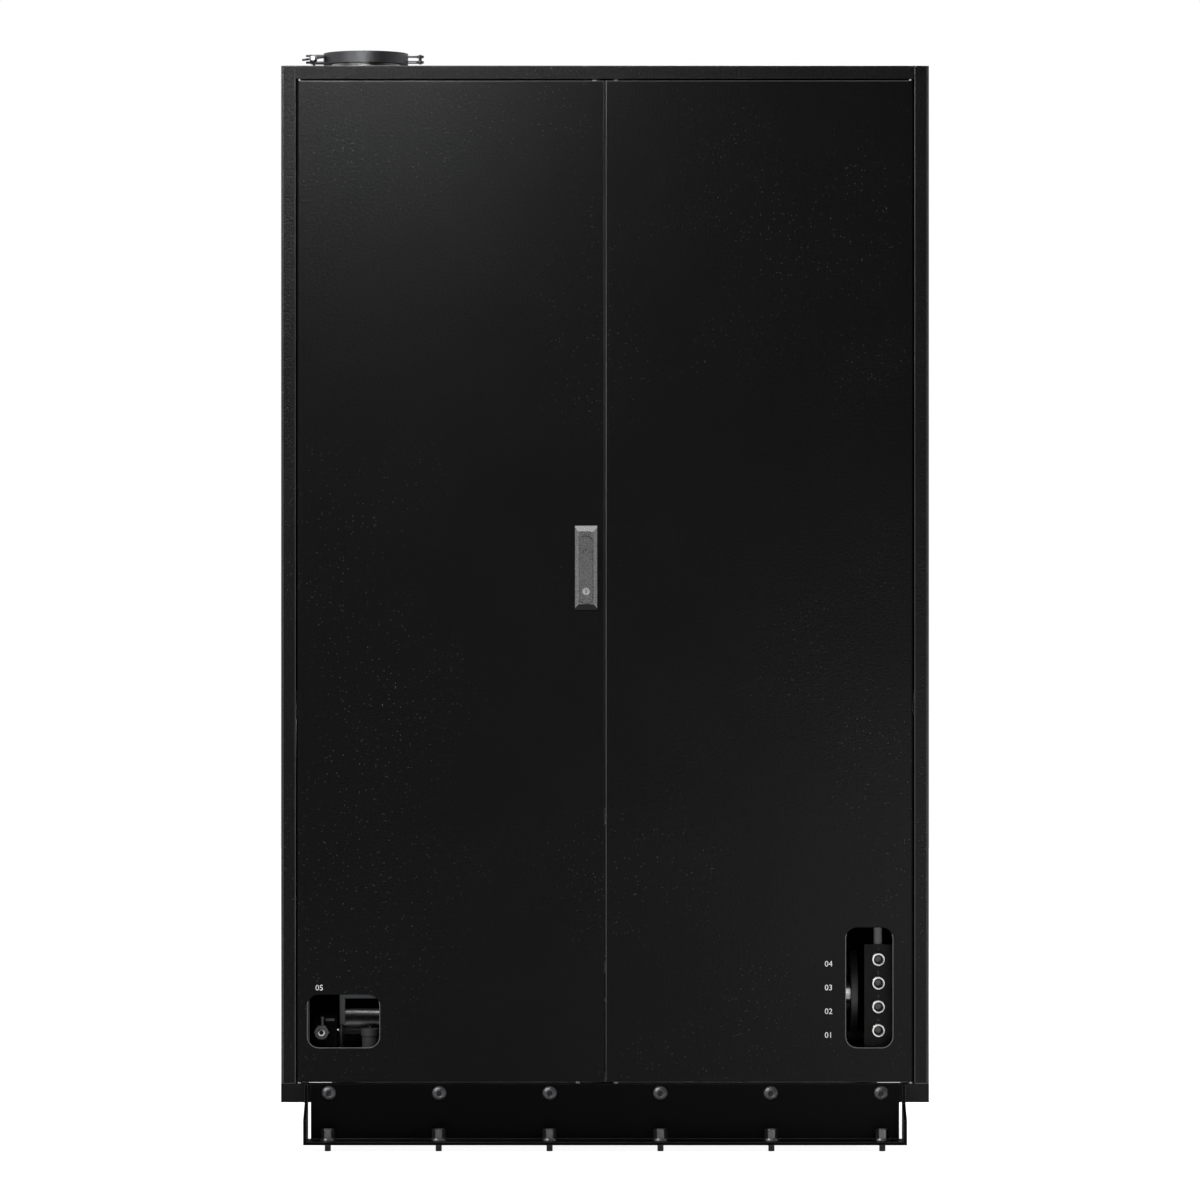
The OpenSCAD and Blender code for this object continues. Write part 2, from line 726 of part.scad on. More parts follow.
// A square bolt at x, between two heights
module square_bolt(x, z0, z1) {
  bar([x - bolt_side / 2, bolt_y - bolt_side / 2, z0], [x + bolt_side / 2, bolt_y + bolt_side / 2, z1]);
}

module latch_rod_upper() {
  color("#9a9ca0") square_bolt(upper_rod_x, hub_z - 14, head_z + latch_reach);
}

module latch_rod_lower() {
  color("#9a9ca0") square_bolt(lower_rod_x, sill_z - latch_reach, hub_z + 14);
}

module flush_bolt_upper() {
  color("#9a9ca0") square_bolt(flush_x, door_z1 - flush_l, head_z + latch_reach);
}

module flush_bolt_lower() {
  color("#9a9ca0") square_bolt(flush_x, sill_z - latch_reach, door_z0 + flush_l);
}

// ---- Connection pipes and clamp ----

// A pipe from its ferrule down through the roof and along the given points
module connection_pipe(y, points) {
  difference() {
    union() {
      pipe_run(concat([[pipe_x, y, ferrule_z - 1]], points), pipe_r);
      translate([pipe_x, y, ferrule_z - ferrule_t]) cylinder(r = ferrule_r, h = ferrule_t);
      translate([pipe_x, y, ferrule_z - ferrule_t - 2.5]) cylinder(r1 = pipe_r, r2 = ferrule_r, h = 2.5);
      translate([pipe_x, y, roof_z]) cylinder(r = roof_hole + 6, h = 2);
    }
    translate([pipe_x, y, ferrule_z - 180]) cylinder(r = pipe_r - pipe_wall, h = 181);
  }
}

module coolant_return_pipe() {
  y = pipe_ys[0];
  z = shelf_top + 200;
  color("#b4b7ba") connection_pipe(y, [[pipe_x, y, z], [tank_x - tank_r - 12, y, z]]);
}

module facility_supply_pipe() {
  y = pipe_ys[1];
  color("#b4b7ba") connection_pipe(y, [
    [pipe_x, y, upper_port_z], [-port_x, y, upper_port_z], [-port_x, exchanger_y, upper_port_z]
  ]);
}

module facility_return_pipe() {
  y = pipe_ys[2];
  color("#b4b7ba") {
    connection_pipe(y, [[pipe_x, y, valve_z + valve_t / 2]]);
    piping([
      [pipe_x, y, valve_z - valve_t / 2], [pipe_x, y, lower_port_z], [pipe_x, return_run_y, lower_port_z],
      [-port_x, return_run_y, lower_port_z], [-port_x, exchanger_y, lower_port_z]
    ], pipe_r);
  }
}

module coolant_supply_pipe() {
  y = pipe_ys[3];
  z = tray_z + exchanger_h + 110;
  color("#b4b7ba") connection_pipe(y, [
    [pipe_x, y, z], [port_x, y, z], [port_x, return_run_y, z], [port_x, return_run_y, upper_port_z],
    [port_x, exchanger_y, upper_port_z]
  ]);
}

clamp_y = pipe_ys[0];
lip_r = pipe_r + 2;
groove_r = ferrule_r + 1.25;
lip_in = 3.4;
split = 1.5;

// Half of the clamp's grooved ring, on the +Y side, centred on the origin
module clamp_ring() {
  difference() {
    rotate_extrude(angle = 180) polygon([
      [lip_r, -clamp_h / 2], [clamp_r, -clamp_h / 2], [clamp_r, clamp_h / 2], [lip_r, clamp_h / 2],
      [lip_r, lip_in + 2.6], [groove_r, lip_in], [groove_r, -lip_in], [lip_r, -lip_in - 2.6]
    ]);
    bar([-clamp_r - 1, -1, -clamp_h], [clamp_r + 1, split, clamp_h]);
  }
}

// A flat hinge arm from the ring to the hinge pin, on the +Y side
module clamp_arm(z, t, hole) {
  translate([0, 0, z]) linear_extrude(t) difference() {
    union() {
      translate([clamp_r - 4, split]) square([clamp_hinge - clamp_r + 4, 7]);
      translate([clamp_hinge, 0]) circle(r = 7);
    }
    if (hole > 0) translate([clamp_hinge, 0]) circle(r = hole);
  }
}

module clamp_rear_half() {
  color("#3a3b3d") translate([pipe_x, clamp_y, ferrule_z]) {
    clamp_ring();
    for (z = [5.2, -7.2]) clamp_arm(z, 2, 0);
    translate([clamp_hinge, 0, -9]) cylinder(r = 3, h = 18);
    for (z = [clamp_bolt_r + 0.8, -clamp_bolt_r - 3.8]) translate([0, 0, z]) linear_extrude(3) {
      translate([-clamp_bolt_x, 8]) square([clamp_bolt_x - clamp_r + 4, 12]);
      translate([-clamp_bolt_x, 14]) circle(r = 6);
    }
    translate([-clamp_bolt_x, 14, -10]) cylinder(r = 2.5, h = 20);
  }
}

module clamp_front_half() {
  color("#3a3b3d") translate([pipe_x, clamp_y, ferrule_z]) {
    mirror([0, 1, 0]) clamp_ring();
    for (z = [3, -4.9]) mirror([0, 1, 0]) clamp_arm(z, 1.9, 3 + run_gap);
    for (z = [clamp_bolt_r + 0.5, -clamp_bolt_r - 4]) translate([0, 0, z]) linear_extrude(3.5)
      polygon([
        [-clamp_r + 5, -split], [-clamp_bolt_x - 14, -split], [-clamp_bolt_x - 14, -12],
        [-clamp_bolt_x - 5, -16], [-clamp_r + 5, -16]
      ]);
  }
}

module clamp_bolt() {
  color("#8a8c90") translate([pipe_x - clamp_bolt_x, clamp_y + 14, ferrule_z]) difference() {
    union() {
      cylinder(r = 5.5, h = clamp_bolt_r * 1.6, center = true);
      rotate([90, 0, 0]) cylinder(r = clamp_bolt_r, h = 52);
    }
    cylinder(r = 2.5 + run_gap, h = 20, center = true);
  }
}

module clamp_wing_nut() {
  color("#3a3b3d") translate([pipe_x - clamp_bolt_x, clamp_y - 16.6, ferrule_z]) rotate([90, 0, 0]) difference() {
    union() {
      cylinder(r1 = 7.5, r2 = 5.8, h = 10);
      for (a = [0, 180]) rotate([0, 0, a + 8]) {
        translate([4, -1.5, 1]) cube([wing_r - 10, 3, 9]);
        translate([wing_r - 7, 1.5, 8]) rotate([90, 0, 0]) cylinder(r = 7, h = 3);
      }
    }
    translate([0, 0, -1]) cylinder(r = clamp_bolt_r + run_gap, h = 20);
  }
}

// ---- Pumps, exchanger and lines ----

// A pump's casing and nozzles, with a chamber for the impeller
module pump(x) {
  color("#5b6f80") translate([x, pump_y, 0]) difference() {
    union() {
      translate([0, 0, tray_z]) cylinder(r = pump_r + 15, h = 12);
      translate([0, 0, casing_z]) cylinder(r = pump_r, h = casing_top - casing_z);
      translate([0, 0, casing_top]) cylinder(r = pump_r + 12, h = 15);
      round_bar([0, -nozzle_l, line_z], [0, nozzle_l, line_z], branch_r);
      for (y = [-nozzle_l, nozzle_l - 12]) round_bar([0, y, line_z], [0, y + 12, line_z], nozzle_flange_r);
    }
    translate([0, 0, casing_z + 30]) cylinder(r = impeller_r + 3, h = casing_top - casing_z - 50);
    translate([0, 0, casing_z + 30]) cylinder(r = shaft_r + run_gap, h = pump_h);
  }
}

module motor(x) {
  color("#4d5358") translate([x, pump_y, flange_top]) difference() {
    union() {
      cylinder(r = motor_r + 12, h = 14);
      cylinder(r = motor_r, h = motor_h);
      translate([-40, -motor_r - 30, 100]) cube([80, 60, 90]);
    }
    translate([0, 0, -1]) cylinder(r = shaft_r + run_gap, h = 61);
  }
}

module impeller(x) {
  color("#b0b2b5") translate([x, pump_y, 0]) {
    translate([0, 0, casing_z + 35]) cylinder(r = impeller_r, h = 60);
    translate([0, 0, casing_z + 35]) cylinder(r = shaft_r, h = flange_top - casing_z + 20);
  }
}

module suction_header() {
  flange_x = side_x - right_window_in - right_window_w + 14.5;
  color("#a9acaf") {
    round_bar([-pump_x - 50, suction_y, line_z], [flange_x, suction_y, line_z], header_r);
    round_bar([flange_x, suction_y, line_z], [flange_x + 12, suction_y, line_z], header_r + 31);
    for (x = [-pump_x, pump_x])
      round_bar([x, suction_y, line_z], [x, pump_y - nozzle_l, line_z], branch_r);
    round_bar([tank_x, suction_y, line_z], [tank_x, suction_y, shelf_top], branch_r);
    for (x = [-pump_x + 60, pump_x + 60])
      bar([x - 15, suction_y - 20, tray_z], [x + 15, suction_y + 20, line_z - header_r + 8]);
  }
}

module discharge_header() {
  color("#a9acaf") {
    round_bar([-pump_x - 50, discharge_y, line_z], [pump_x + 50, discharge_y, line_z], header_r);
    for (x = [-pump_x, pump_x])
      round_bar([x, pump_y + nozzle_l, line_z], [x, discharge_y, line_z], branch_r);
    round_bar([port_x, discharge_y, line_z], [port_x, exchanger_y, line_z], branch_r);
  }
}

module reservoir_tank() {
  z = shelf_top + 200;
  color("#b4b7ba") {
    translate([tank_x, suction_y, shelf_top]) cylinder(r = tank_r, h = tank_h);
    translate([tank_x, suction_y, shelf_top + tank_h]) cylinder(r1 = tank_r, r2 = tank_r * 0.4, h = 40);
    round_bar([tank_x, pipe_ys[0], z], [tank_x - tank_r - 12, pipe_ys[0], z], pipe_r + 8);
  }
}

module exchanger_frame() {
  w = plate_w / 2 + 30;
  y1 = exchanger_y + exchanger_d;
  color("#3f5d78") {
    for (y = [exchanger_y, y1 - end_plate])
      bar([-w, y, tray_z], [w, y + end_plate, tray_z + exchanger_h]);
    for (x = [-w + 14, w - 14], z = [0.25, 0.5, 0.75])
      round_bar([x, exchanger_y + 1, tray_z + exchanger_h * z], [x, y1 - 1, tray_z + exchanger_h * z], 10);
  }
}

module exchanger_pack() {
  color("#c4c6c8")
    bar([-plate_w / 2 + 15, exchanger_y + end_plate, tray_z + 40],
        [plate_w / 2 - 15, exchanger_y + exchanger_d - end_plate, tray_z + exchanger_h - 40]);
}

module control_valve() {
  y = pipe_ys[2];
  color("#4d5358") difference() {
    union() {
      translate([pipe_x, y, valve_z - valve_t / 2]) cylinder(r = valve_r, h = valve_t);
      round_bar([pipe_x, y, valve_z], [pipe_x, y - valve_r - 40, valve_z], 20);
    }
    translate([pipe_x, y, valve_z - valve_t / 2 - 1]) cylinder(r = valve_bore, h = valve_t + 2);
    round_bar([pipe_x, y + valve_bore + 15, valve_z], [pipe_x, y - valve_r - 41, valve_z], stem_r + run_gap);
  }
}

module valve_disc() {
  y = pipe_ys[2];
  color("#c4c6c8") {
    round_bar([pipe_x - 4, y, valve_z], [pipe_x + 4, y, valve_z], valve_bore - 0.6);
    round_bar([pipe_x, y + valve_bore + 14, valve_z], [pipe_x, y - valve_r - 60, valve_z], stem_r);
  }
}

module valve_actuator() {
  y = pipe_ys[2] - valve_r - 40;
  color("#2e5f8a") difference() {
    bar([pipe_x - 60, y - 90, valve_z - 45], [pipe_x + 60, y, valve_z + 75]);
    round_bar([pipe_x, y + 1, valve_z], [pipe_x, y - 22, valve_z], stem_r + run_gap);
  }
}

module electrical_enclosure() {
  x1 = enclosure_x + enclosure_w;
  y1 = enclosure_y + enclosure_d;
  z1 = shelf_top + enclosure_h;
  color("#8f9396") {
    difference() {
      bar([enclosure_x, enclosure_y + 2, shelf_top], [x1, y1, z1]);
      bar([enclosure_x + 2, enclosure_y, shelf_top + 2], [x1 - 2, y1 - 2, z1 - 2]);
    }
    difference() {
      bar([enclosure_x, enclosure_y, shelf_top], [x1, enclosure_y + 2, z1]);
      round_bar([x1 - 80, enclosure_y - 1, z1 - 90], [x1 - 80, enclosure_y + 3, z1 - 90], 5 + run_gap);
    }
    for (x = [0.12, 0.56])
      bar([enclosure_x + enclosure_w * x, y1 - 202, shelf_top + 60],
          [enclosure_x + enclosure_w * (x + 0.32), y1 - 2, shelf_top + 460]);
  }
}

module isolator_knob() {
  x = enclosure_x + enclosure_w - 80;
  z = shelf_top + enclosure_h - 90;
  color("#b3261e") {
    round_bar([x, enclosure_y - free_gap, z], [x, enclosure_y - 8, z], 26);
    bar([x - 6, enclosure_y - 20, z - 24], [x + 6, enclosure_y - 7, z + 24]);
    round_bar([x, enclosure_y - 1, z], [x, enclosure_y + 20, z], 5);
  }
}

// ---- Service fittings behind the windows ----

module port_plate() {
  x0 = ports_x - port_plate_w / 2 + 1.5;
  color("#1d1d1f") difference() {
    union() {
      bar([x0, plate_y, tray_z], [x0 + port_plate_w, plate_y + 5, floor_z + port_plate_top]);
      bar([x0, plate_y, tray_z], [x0 + port_plate_w, plate_y + 40, tray_z + 5]);
    }
    for (z = port_zs) round_bar([ports_x, plate_y - 1, z], [ports_x, plate_y + 6, z], port_r - 1.4);
  }
}

module service_ports() {
  color("#c9cacc") for (z = port_zs) difference() {
    union() {
      round_bar([ports_x, port_face, z], [ports_x, plate_y, z], port_r);
      round_bar([ports_x, plate_y - 1, z], [ports_x, plate_y + 46, z], port_r - 1.4);
    }
    round_bar([ports_x, port_face - 1, z], [ports_x, port_face + 18, z], port_mouth_r);
    round_bar([ports_x, port_face + 17, z], [ports_x, port_face + 48, z], poppet_r + run_gap);
  }
}

module port_poppet(i) {
  color("#b0b2b5") {
    round_bar([ports_x, port_face + 19, port_zs[i]], [ports_x, port_face + 36, port_zs[i]], poppet_r);
    round_bar([ports_x, port_face + 18.1, port_zs[i]], [ports_x, port_face + 20, port_zs[i]], 2.5);
  }
}

module relief_valve() {
  z = floor_z + relief_z;
  color("#8a8c90") difference() {
    union() {
      bar([relief_x - 17.5, relief_y, tray_z], [relief_x + 28.5, relief_y + 56, z + 31]);
      translate([relief_x, relief_y + 1, z]) rotate([90, 0, 0]) cylinder(r = 15, h = 11, $fn = 6);
      round_bar([relief_x, relief_y, z], [relief_x, relief_y - 16, z], relief_r + 2.5);
      round_bar([relief_x + 1, relief_y - 5, z + 6], [relief_x + 1, relief_y - 5, z + 27], 4.7);
      bar([relief_x - 3, relief_y - 6, z + 18], [relief_x + 5, relief_y + 1, z + 26]);
    }
    round_bar([relief_x, relief_y - 17, z], [relief_x, relief_y + 14, z], relief_r);
    bar([relief_x + 8, relief_y - 1, z + 20.5], [relief_x + 23.5, relief_y + 4, z + 25.5]);
  }
}

module fill_line() {
  x = ports_x;
  y = plate_y + 13;
  z = floor_z + fill_up;
  color("#c4c6c8") pipe_run([
    [x, y, port_zs[3] + port_r - 1], [x, y, z], [tank_x, y, z], [tank_x, y, shelf_top]
  ], fill_r);
}

module makeup_line() {
  y = front_y + makeup_in;
  z = floor_z + makeup_up;
  x = strip_x;
  color("#8f9396") {
    pipe_run([[x, y, z], [makeup_riser_x, y, z], [makeup_riser_x, y, shelf_top - shelf_t]], makeup_r);
    bar([x, y - 46, tray_z], [x + 5, y + makeup_r, z + 200]);
    bar([x, y - 56, z + 15], [x + 11, y - 46, z + 200]);
    bar([x, y - 56, z + 15], [x + 5, y - 45, z + 200]);
    bar([x, y - 58, z + 41], [x + 120, y - 52, z + 100]);
  }
}

module level_sensor() {
  x = -side_x + left_window_in + 115;
  color("#8f9396") translate([x, front_y + 55, tray_z]) {
    cylinder(r = 15, h = floor_z + 192 - tray_z);
    translate([0, 0, floor_z + 192 - tray_z]) cylinder(r = 16.5, h = 14);
    translate([0, 0, floor_z + 206 - tray_z]) cylinder(r = 2.5, h = 4);
  }
}

base_frame();
corner_posts();
top_frame();
side_panel(-1);  // side_panel_left
side_panel(1);  // side_panel_right
roof_panel();
rear_panels();
drip_tray();
equipment_shelf();
front_bracket();
rear_bracket();
bracket_bolts();
floor_anchors();
levelling_feet();
hinge_pins();
door_left();
door_right();
handle_bezel();
latch_gearbox();
handle_spindle();
handle_lever();
lock_cylinder();
latch_rod_upper();
latch_rod_lower();
flush_bolt_upper();
flush_bolt_lower();
coolant_return_pipe();
facility_supply_pipe();
facility_return_pipe();
coolant_supply_pipe();
clamp_rear_half();
clamp_front_half();
clamp_bolt();
clamp_wing_nut();
pump(-pump_x);  // pump_left
motor(-pump_x);  // motor_left
impeller(-pump_x);  // impeller_left
pump(pump_x);  // pump_right
motor(pump_x);  // motor_right
impeller(pump_x);  // impeller_right
suction_header();
discharge_header();
reservoir_tank();
exchanger_frame();
exchanger_pack();
control_valve();
valve_disc();
valve_actuator();
electrical_enclosure();
isolator_knob();
port_plate();
service_ports();
port_poppet(0);  // port_poppet_1
port_poppet(1);  // port_poppet_2
port_poppet(2);  // port_poppet_3
port_poppet(3);  // port_poppet_4
relief_valve();
fill_line();
makeup_line();
level_sensor();
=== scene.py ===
"""Coolant distribution unit: the looks of the cabinet, its fittings and what stands inside it.

Everything is in metres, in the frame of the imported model: X right, Y back, Z up, Z = 0 at the anchors' tips.
"""

import json
import math

import bmesh
import bpy
import numpy as np
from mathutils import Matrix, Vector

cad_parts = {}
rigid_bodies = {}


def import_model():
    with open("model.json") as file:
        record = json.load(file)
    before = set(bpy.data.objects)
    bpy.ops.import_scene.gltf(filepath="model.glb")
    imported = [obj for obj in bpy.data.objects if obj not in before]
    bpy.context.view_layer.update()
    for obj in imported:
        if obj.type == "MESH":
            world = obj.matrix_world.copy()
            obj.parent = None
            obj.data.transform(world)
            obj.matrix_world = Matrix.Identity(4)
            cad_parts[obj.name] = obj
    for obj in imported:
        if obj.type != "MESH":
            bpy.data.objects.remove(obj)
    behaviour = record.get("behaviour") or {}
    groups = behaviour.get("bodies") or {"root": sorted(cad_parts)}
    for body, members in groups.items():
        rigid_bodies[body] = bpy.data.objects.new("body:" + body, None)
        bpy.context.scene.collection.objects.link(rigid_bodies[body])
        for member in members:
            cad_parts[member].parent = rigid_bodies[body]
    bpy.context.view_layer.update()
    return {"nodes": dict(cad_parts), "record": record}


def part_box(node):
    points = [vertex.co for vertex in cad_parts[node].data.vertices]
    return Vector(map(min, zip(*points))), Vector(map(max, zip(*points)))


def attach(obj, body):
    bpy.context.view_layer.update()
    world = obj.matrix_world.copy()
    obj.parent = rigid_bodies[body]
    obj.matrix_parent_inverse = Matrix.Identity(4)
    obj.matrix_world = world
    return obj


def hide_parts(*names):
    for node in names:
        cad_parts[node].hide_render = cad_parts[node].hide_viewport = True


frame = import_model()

MM = 0.001
SLOT_OF = {part["node"]: part["material_slot"] for part in frame["record"]["subparts"]}
BODY_OF = {node: body for body, nodes in frame["record"]["behaviour"]["bodies"].items() for node in nodes}
CABINET = BODY_OF["corner_posts"]
FRONT_Y = -0.600
SILL_Z, HEAD_Z = 0.1205, 1.9815
PIPE_X, PIPE_R = -0.449, 0.0635
BEND, TIGHT_BEND = 0.0795, 0.0645
LEFT_WINDOW = (-0.552, 0.186, 0.1356, 0.1006, 0.022)
RIGHT_WINDOW = (0.445, 0.186, 0.089, 0.225, 0.022)
HANDLE_X, HUB_Z, LOCK_Z = -0.035, 1.12225, 1.032
RELIEF_X, RELIEF_Y, RELIEF_Z = -0.5265, -0.556, 0.213
PORT_X, PORT_Y = 0.508, -0.551
ROOM_LIGHT = 0.42
SHARP = 35.0
FLOOR_REACH = 14.0
BOLT_XS = (-511.25, -306.75, -102.25, 102.25, 306.75, 511.25)
PORT_ZS = (0.2165, 0.2605, 0.3045, 0.3485)


# ---- Stage: camera, lamps, floor ----

def add_camera():
    """A long lens square to the front, a little over a metre above the floor."""
    data = bpy.data.cameras.new("camera")
    data.lens = 194.4
    data.sensor_width = 36.0
    data.clip_end = 100.0
    camera = bpy.data.objects.new("camera", data)
    camera.location = (-0.0093, -12.6, 1.0162)
    camera.rotation_euler = (math.pi / 2, 0.0, 0.0)
    bpy.context.scene.collection.objects.link(camera)
    bpy.context.scene.camera = camera


def add_lamp(name, place, target, width, height, power, glossy=True):
    """A soft rectangular lamp at place, turned towards target; glossy is off for one that leaves no
    highlight."""
    data = bpy.data.lights.new(name, "AREA")
    data.shape = "RECTANGLE"
    data.size = width
    data.size_y = height
    data.energy = power
    lamp = bpy.data.objects.new(name, data)
    lamp.location = place
    aim = (Vector(target) - Vector(place)).to_track_quat("-Z", "Y")
    lamp.rotation_euler = aim.to_euler()
    lamp.visible_camera = False
    lamp.visible_glossy = glossy
    bpy.context.scene.collection.objects.link(lamp)


def combined(tree, operation, first, second):
    """Two values through an arithmetic node; each is a socket or a plain number."""
    node = tree.nodes.new("ShaderNodeMath")
    node.operation = operation
    for socket, value in zip(node.inputs, (first, second)):
        if isinstance(value, float):
            socket.default_value = value
        else:
            tree.links.new(value, socket)
    return node.outputs[0]


def spread(tree, value, low, high, start=0.0, end=1.0, interpolation="LINEAR"):
    """value, from start to end, mapped on low to high."""
    node = tree.nodes.new("ShaderNodeMapRange")
    node.interpolation_type = interpolation
    for socket, number_set in (("From Min", start), ("From Max", end), ("To Min", low), ("To Max", high)):
        node.inputs[socket].default_value = number_set
    tree.links.new(value, node.inputs["Value"])
    return node.outputs["Result"]


def empty_tree(owner):
    """The node tree of a world or a material, emptied."""
    owner.use_nodes = True
    owner.node_tree.nodes.clear()
    return owner.node_tree


def add_world():
    """White to the eye; a soft grey room to everything that is lit by it, darker in front of the object."""
    world = bpy.data.worlds.new("studio")
    bpy.context.scene.world = world
    tree = empty_tree(world)
    out = tree.nodes.new("ShaderNodeOutputWorld")
    room = tree.nodes.new("ShaderNodeBackground")
    white = tree.nodes.new("ShaderNodeBackground")
    for background in (room, white):
        background.inputs["Color"].default_value = (1.0, 1.0, 1.0, 1.0)
    room.inputs["Strength"].default_value = ROOM_LIGHT
    path = tree.nodes.new("ShaderNodeLightPath").outputs
    clear = combined(tree, "MAXIMUM", path["Is Camera Ray"], path["Is Transmission Ray"])
    # glossy rays: white behind and beside the object, dark where the camera stands
    direction = tree.nodes.new("ShaderNodeTexCoord")
    split = tree.nodes.new("ShaderNodeSeparateXYZ")
    tree.links.new(direction.outputs["Generated"], split.inputs[0])
    fade = spread(tree, split.outputs["Y"], 0.011, 1.0, -0.75, 0.15, "SMOOTHSTEP")
    tree.links.new(combined(tree, "MAXIMUM", fade, clear), white.inputs["Strength"])
    mix = tree.nodes.new("ShaderNodeMixShader")
    tree.links.new(combined(tree, "MAXIMUM", clear, path["Is Glossy Ray"]), mix.inputs[0])
    tree.links.new(room.outputs[0], mix.inputs[1])
    tree.links.new(white.outputs[0], mix.inputs[2])
    tree.links.new(mix.outputs[0], out.inputs["Surface"])


def add_floor():
    """A pale round floor: a flat disc, white to the eye except where the object's shadow lies."""
    rings = np.linspace(0.0, FLOOR_REACH, 15)
    turn = np.linspace(0.0, 2 * math.pi, 64, endpoint=False)
    grid = np.stack([rings[:, None] * np.cos(turn), rings[:, None] * np.sin(turn),
                     np.zeros((rings.size, turn.size)) - 0.0004], -1)
    floor = grid_object("floor", [(grid, False, True)])
    material = bpy.data.materials.new("floor_pale")
    tree = empty_tree(material)
    out = tree.nodes.new("ShaderNodeOutputMaterial")
    paint = tree.nodes.new("ShaderNodeBsdfDiffuse")
    paint.inputs["Color"].default_value = (0.62, 0.62, 0.62, 1.0)
    glow = tree.nodes.new("ShaderNodeEmission")
    path = tree.nodes.new("ShaderNodeLightPath").outputs
    dimmed = combined(tree, "MULTIPLY", path["Is Glossy Ray"], 0.3)
    seen = combined(tree, "MAXIMUM", path["Is Camera Ray"], dimmed)
    clear = combined(tree, "MAXIMUM", seen, path["Is Transmission Ray"])
    place = tree.nodes.new("ShaderNodeTexCoord")
    reach = tree.nodes.new("ShaderNodeVectorMath")
    reach.operation = "LENGTH"
    tree.links.new(place.outputs["Object"], reach.inputs[0])
    whiter = spread(tree, reach.outputs["Value"], 0.93, 1.0, 1.2, 4.5, "SMOOTHSTEP")
    tree.links.new(combined(tree, "MULTIPLY", clear, whiter), glow.inputs["Strength"])
    both = tree.nodes.new("ShaderNodeAddShader")
    tree.links.new(paint.outputs[0], both.inputs[0])
    tree.links.new(glow.outputs[0], both.inputs[1])
    tree.links.new(both.outputs[0], out.inputs["Surface"])
    floor.data.materials.append(material)


# ---- Surfaces ----

def quads(rows, cols, wrap_rows, wrap_cols):
    """Corner numbers of the faces between neighbouring rows and columns of a grid."""
    r = np.arange(rows if wrap_rows else rows - 1)
    c = np.arange(cols if wrap_cols else cols - 1)
    r0, c0 = np.meshgrid(r, c, indexing="ij")
    r1, c1 = (r0 + 1) % rows, (c0 + 1) % cols
    return np.stack([r0 * cols + c0, r0 * cols + c1, r1 * cols + c1, r1 * cols + c0], -1).reshape(-1, 4)


def grid_object(name, grids, crease=SHARP):
    """One object from several grids of points, each (points, wrap rows, wrap columns), welded where they
    meet."""
    points, faces, start = [], [], 0
    for grid, wrap_rows, wrap_cols in grids:
        rows, cols = grid.shape[:2]
        points.append(grid.reshape(-1, 3))
        faces.append(quads(rows, cols, wrap_rows, wrap_cols) + start)
        start += rows * cols
    points, faces = np.concatenate(points), np.concatenate(faces)
    mesh = bpy.data.meshes.new(name)
    mesh.vertices.add(len(points))
    mesh.vertices.foreach_set("co", points.astype(np.float32).ravel())
    mesh.loops.add(faces.size)
    mesh.loops.foreach_set("vertex_index", faces.astype(np.int32).ravel())
    mesh.polygons.add(len(faces))
    mesh.polygons.foreach_set("loop_start", np.arange(0, faces.size, 4, dtype=np.int32))
    mesh.update(calc_edges=True)
    tidy_mesh(mesh, crease)
    piece = bpy.data.objects.new(name, mesh)
    bpy.context.scene.collection.objects.link(piece)
    return piece


def tidy_mesh(mesh, crease, flat=False):
    """Welds doubles, turns faces outwards and keeps edges sharper than crease degrees sharp."""
    work = bmesh.new()
    work.from_mesh(mesh)
    bmesh.ops.remove_doubles(work, verts=work.verts, dist=2e-6)
    bmesh.ops.dissolve_degenerate(work, edges=work.edges, dist=1e-6)
    if flat:
        bmesh.ops.dissolve_limit(work, angle_limit=math.radians(0.4), verts=work.verts, edges=work.edges)
    bmesh.ops.recalc_face_normals(work, faces=work.faces)
    limit = math.radians(crease)
    for face in work.faces:
        face.smooth = True
    for edge in work.edges:
        edge.smooth = len(edge.link_faces) == 2 and edge.calc_face_angle(0.0) < limit
    work.to_mesh(mesh)
    work.free()


def closed_ends(grid):
    """The grid with a point in the middle of its first and last row, so that both ends are closed."""
    first = np.broadcast_to(grid[0].mean(0), grid[:1].shape)
    last = np.broadcast_to(grid[-1].mean(0), grid[:1].shape)
    return np.concatenate([first, grid, last])


AXES = {"x": ((0, 1, 0), (0, 0, 1), (1, 0, 0)), "-x": ((0, 0, 1), (0, 1, 0), (-1, 0, 0)),
        "y": ((0, 0, 1), (1, 0, 0), (0, 1, 0)), "-y": ((1, 0, 0), (0, 0, 1), (0, -1, 0)),
        "z": ((1, 0, 0), (0, 1, 0), (0, 0, 1))}


def turned(profile, base, axis="z", count=48, radius_of=None):
    """A turned shape: the point at angle a and place (r, h) of the profile is base + r (u cos a + v sin a) +
    h w, with u, v across the axis and w along it. radius_of(r, h, a) may change r, as for a hexagon."""
    profile = np.asarray(profile, float)
    u, v, w = (np.array(t, float) for t in AXES[axis])
    a = np.linspace(0.0, 2 * math.pi, count, endpoint=False)[None, :]
    r, h = profile[:, :1] + 0 * a, profile[:, 1:] + 0 * a
    if radius_of:
        r = radius_of(r, h, a)
    grid = (np.array(base, float) + (r * np.cos(a))[..., None] * u + (r * np.sin(a))[..., None] * v
            + h[..., None] * w)
    return closed_ends(grid), False, True


def hexagon(a, across_corners):
    """Distance from the middle to a hexagon's side at angle a."""
    return across_corners / 2 * math.cos(math.pi / 6) / np.cos(np.mod(a, math.pi / 3) - math.pi / 6)


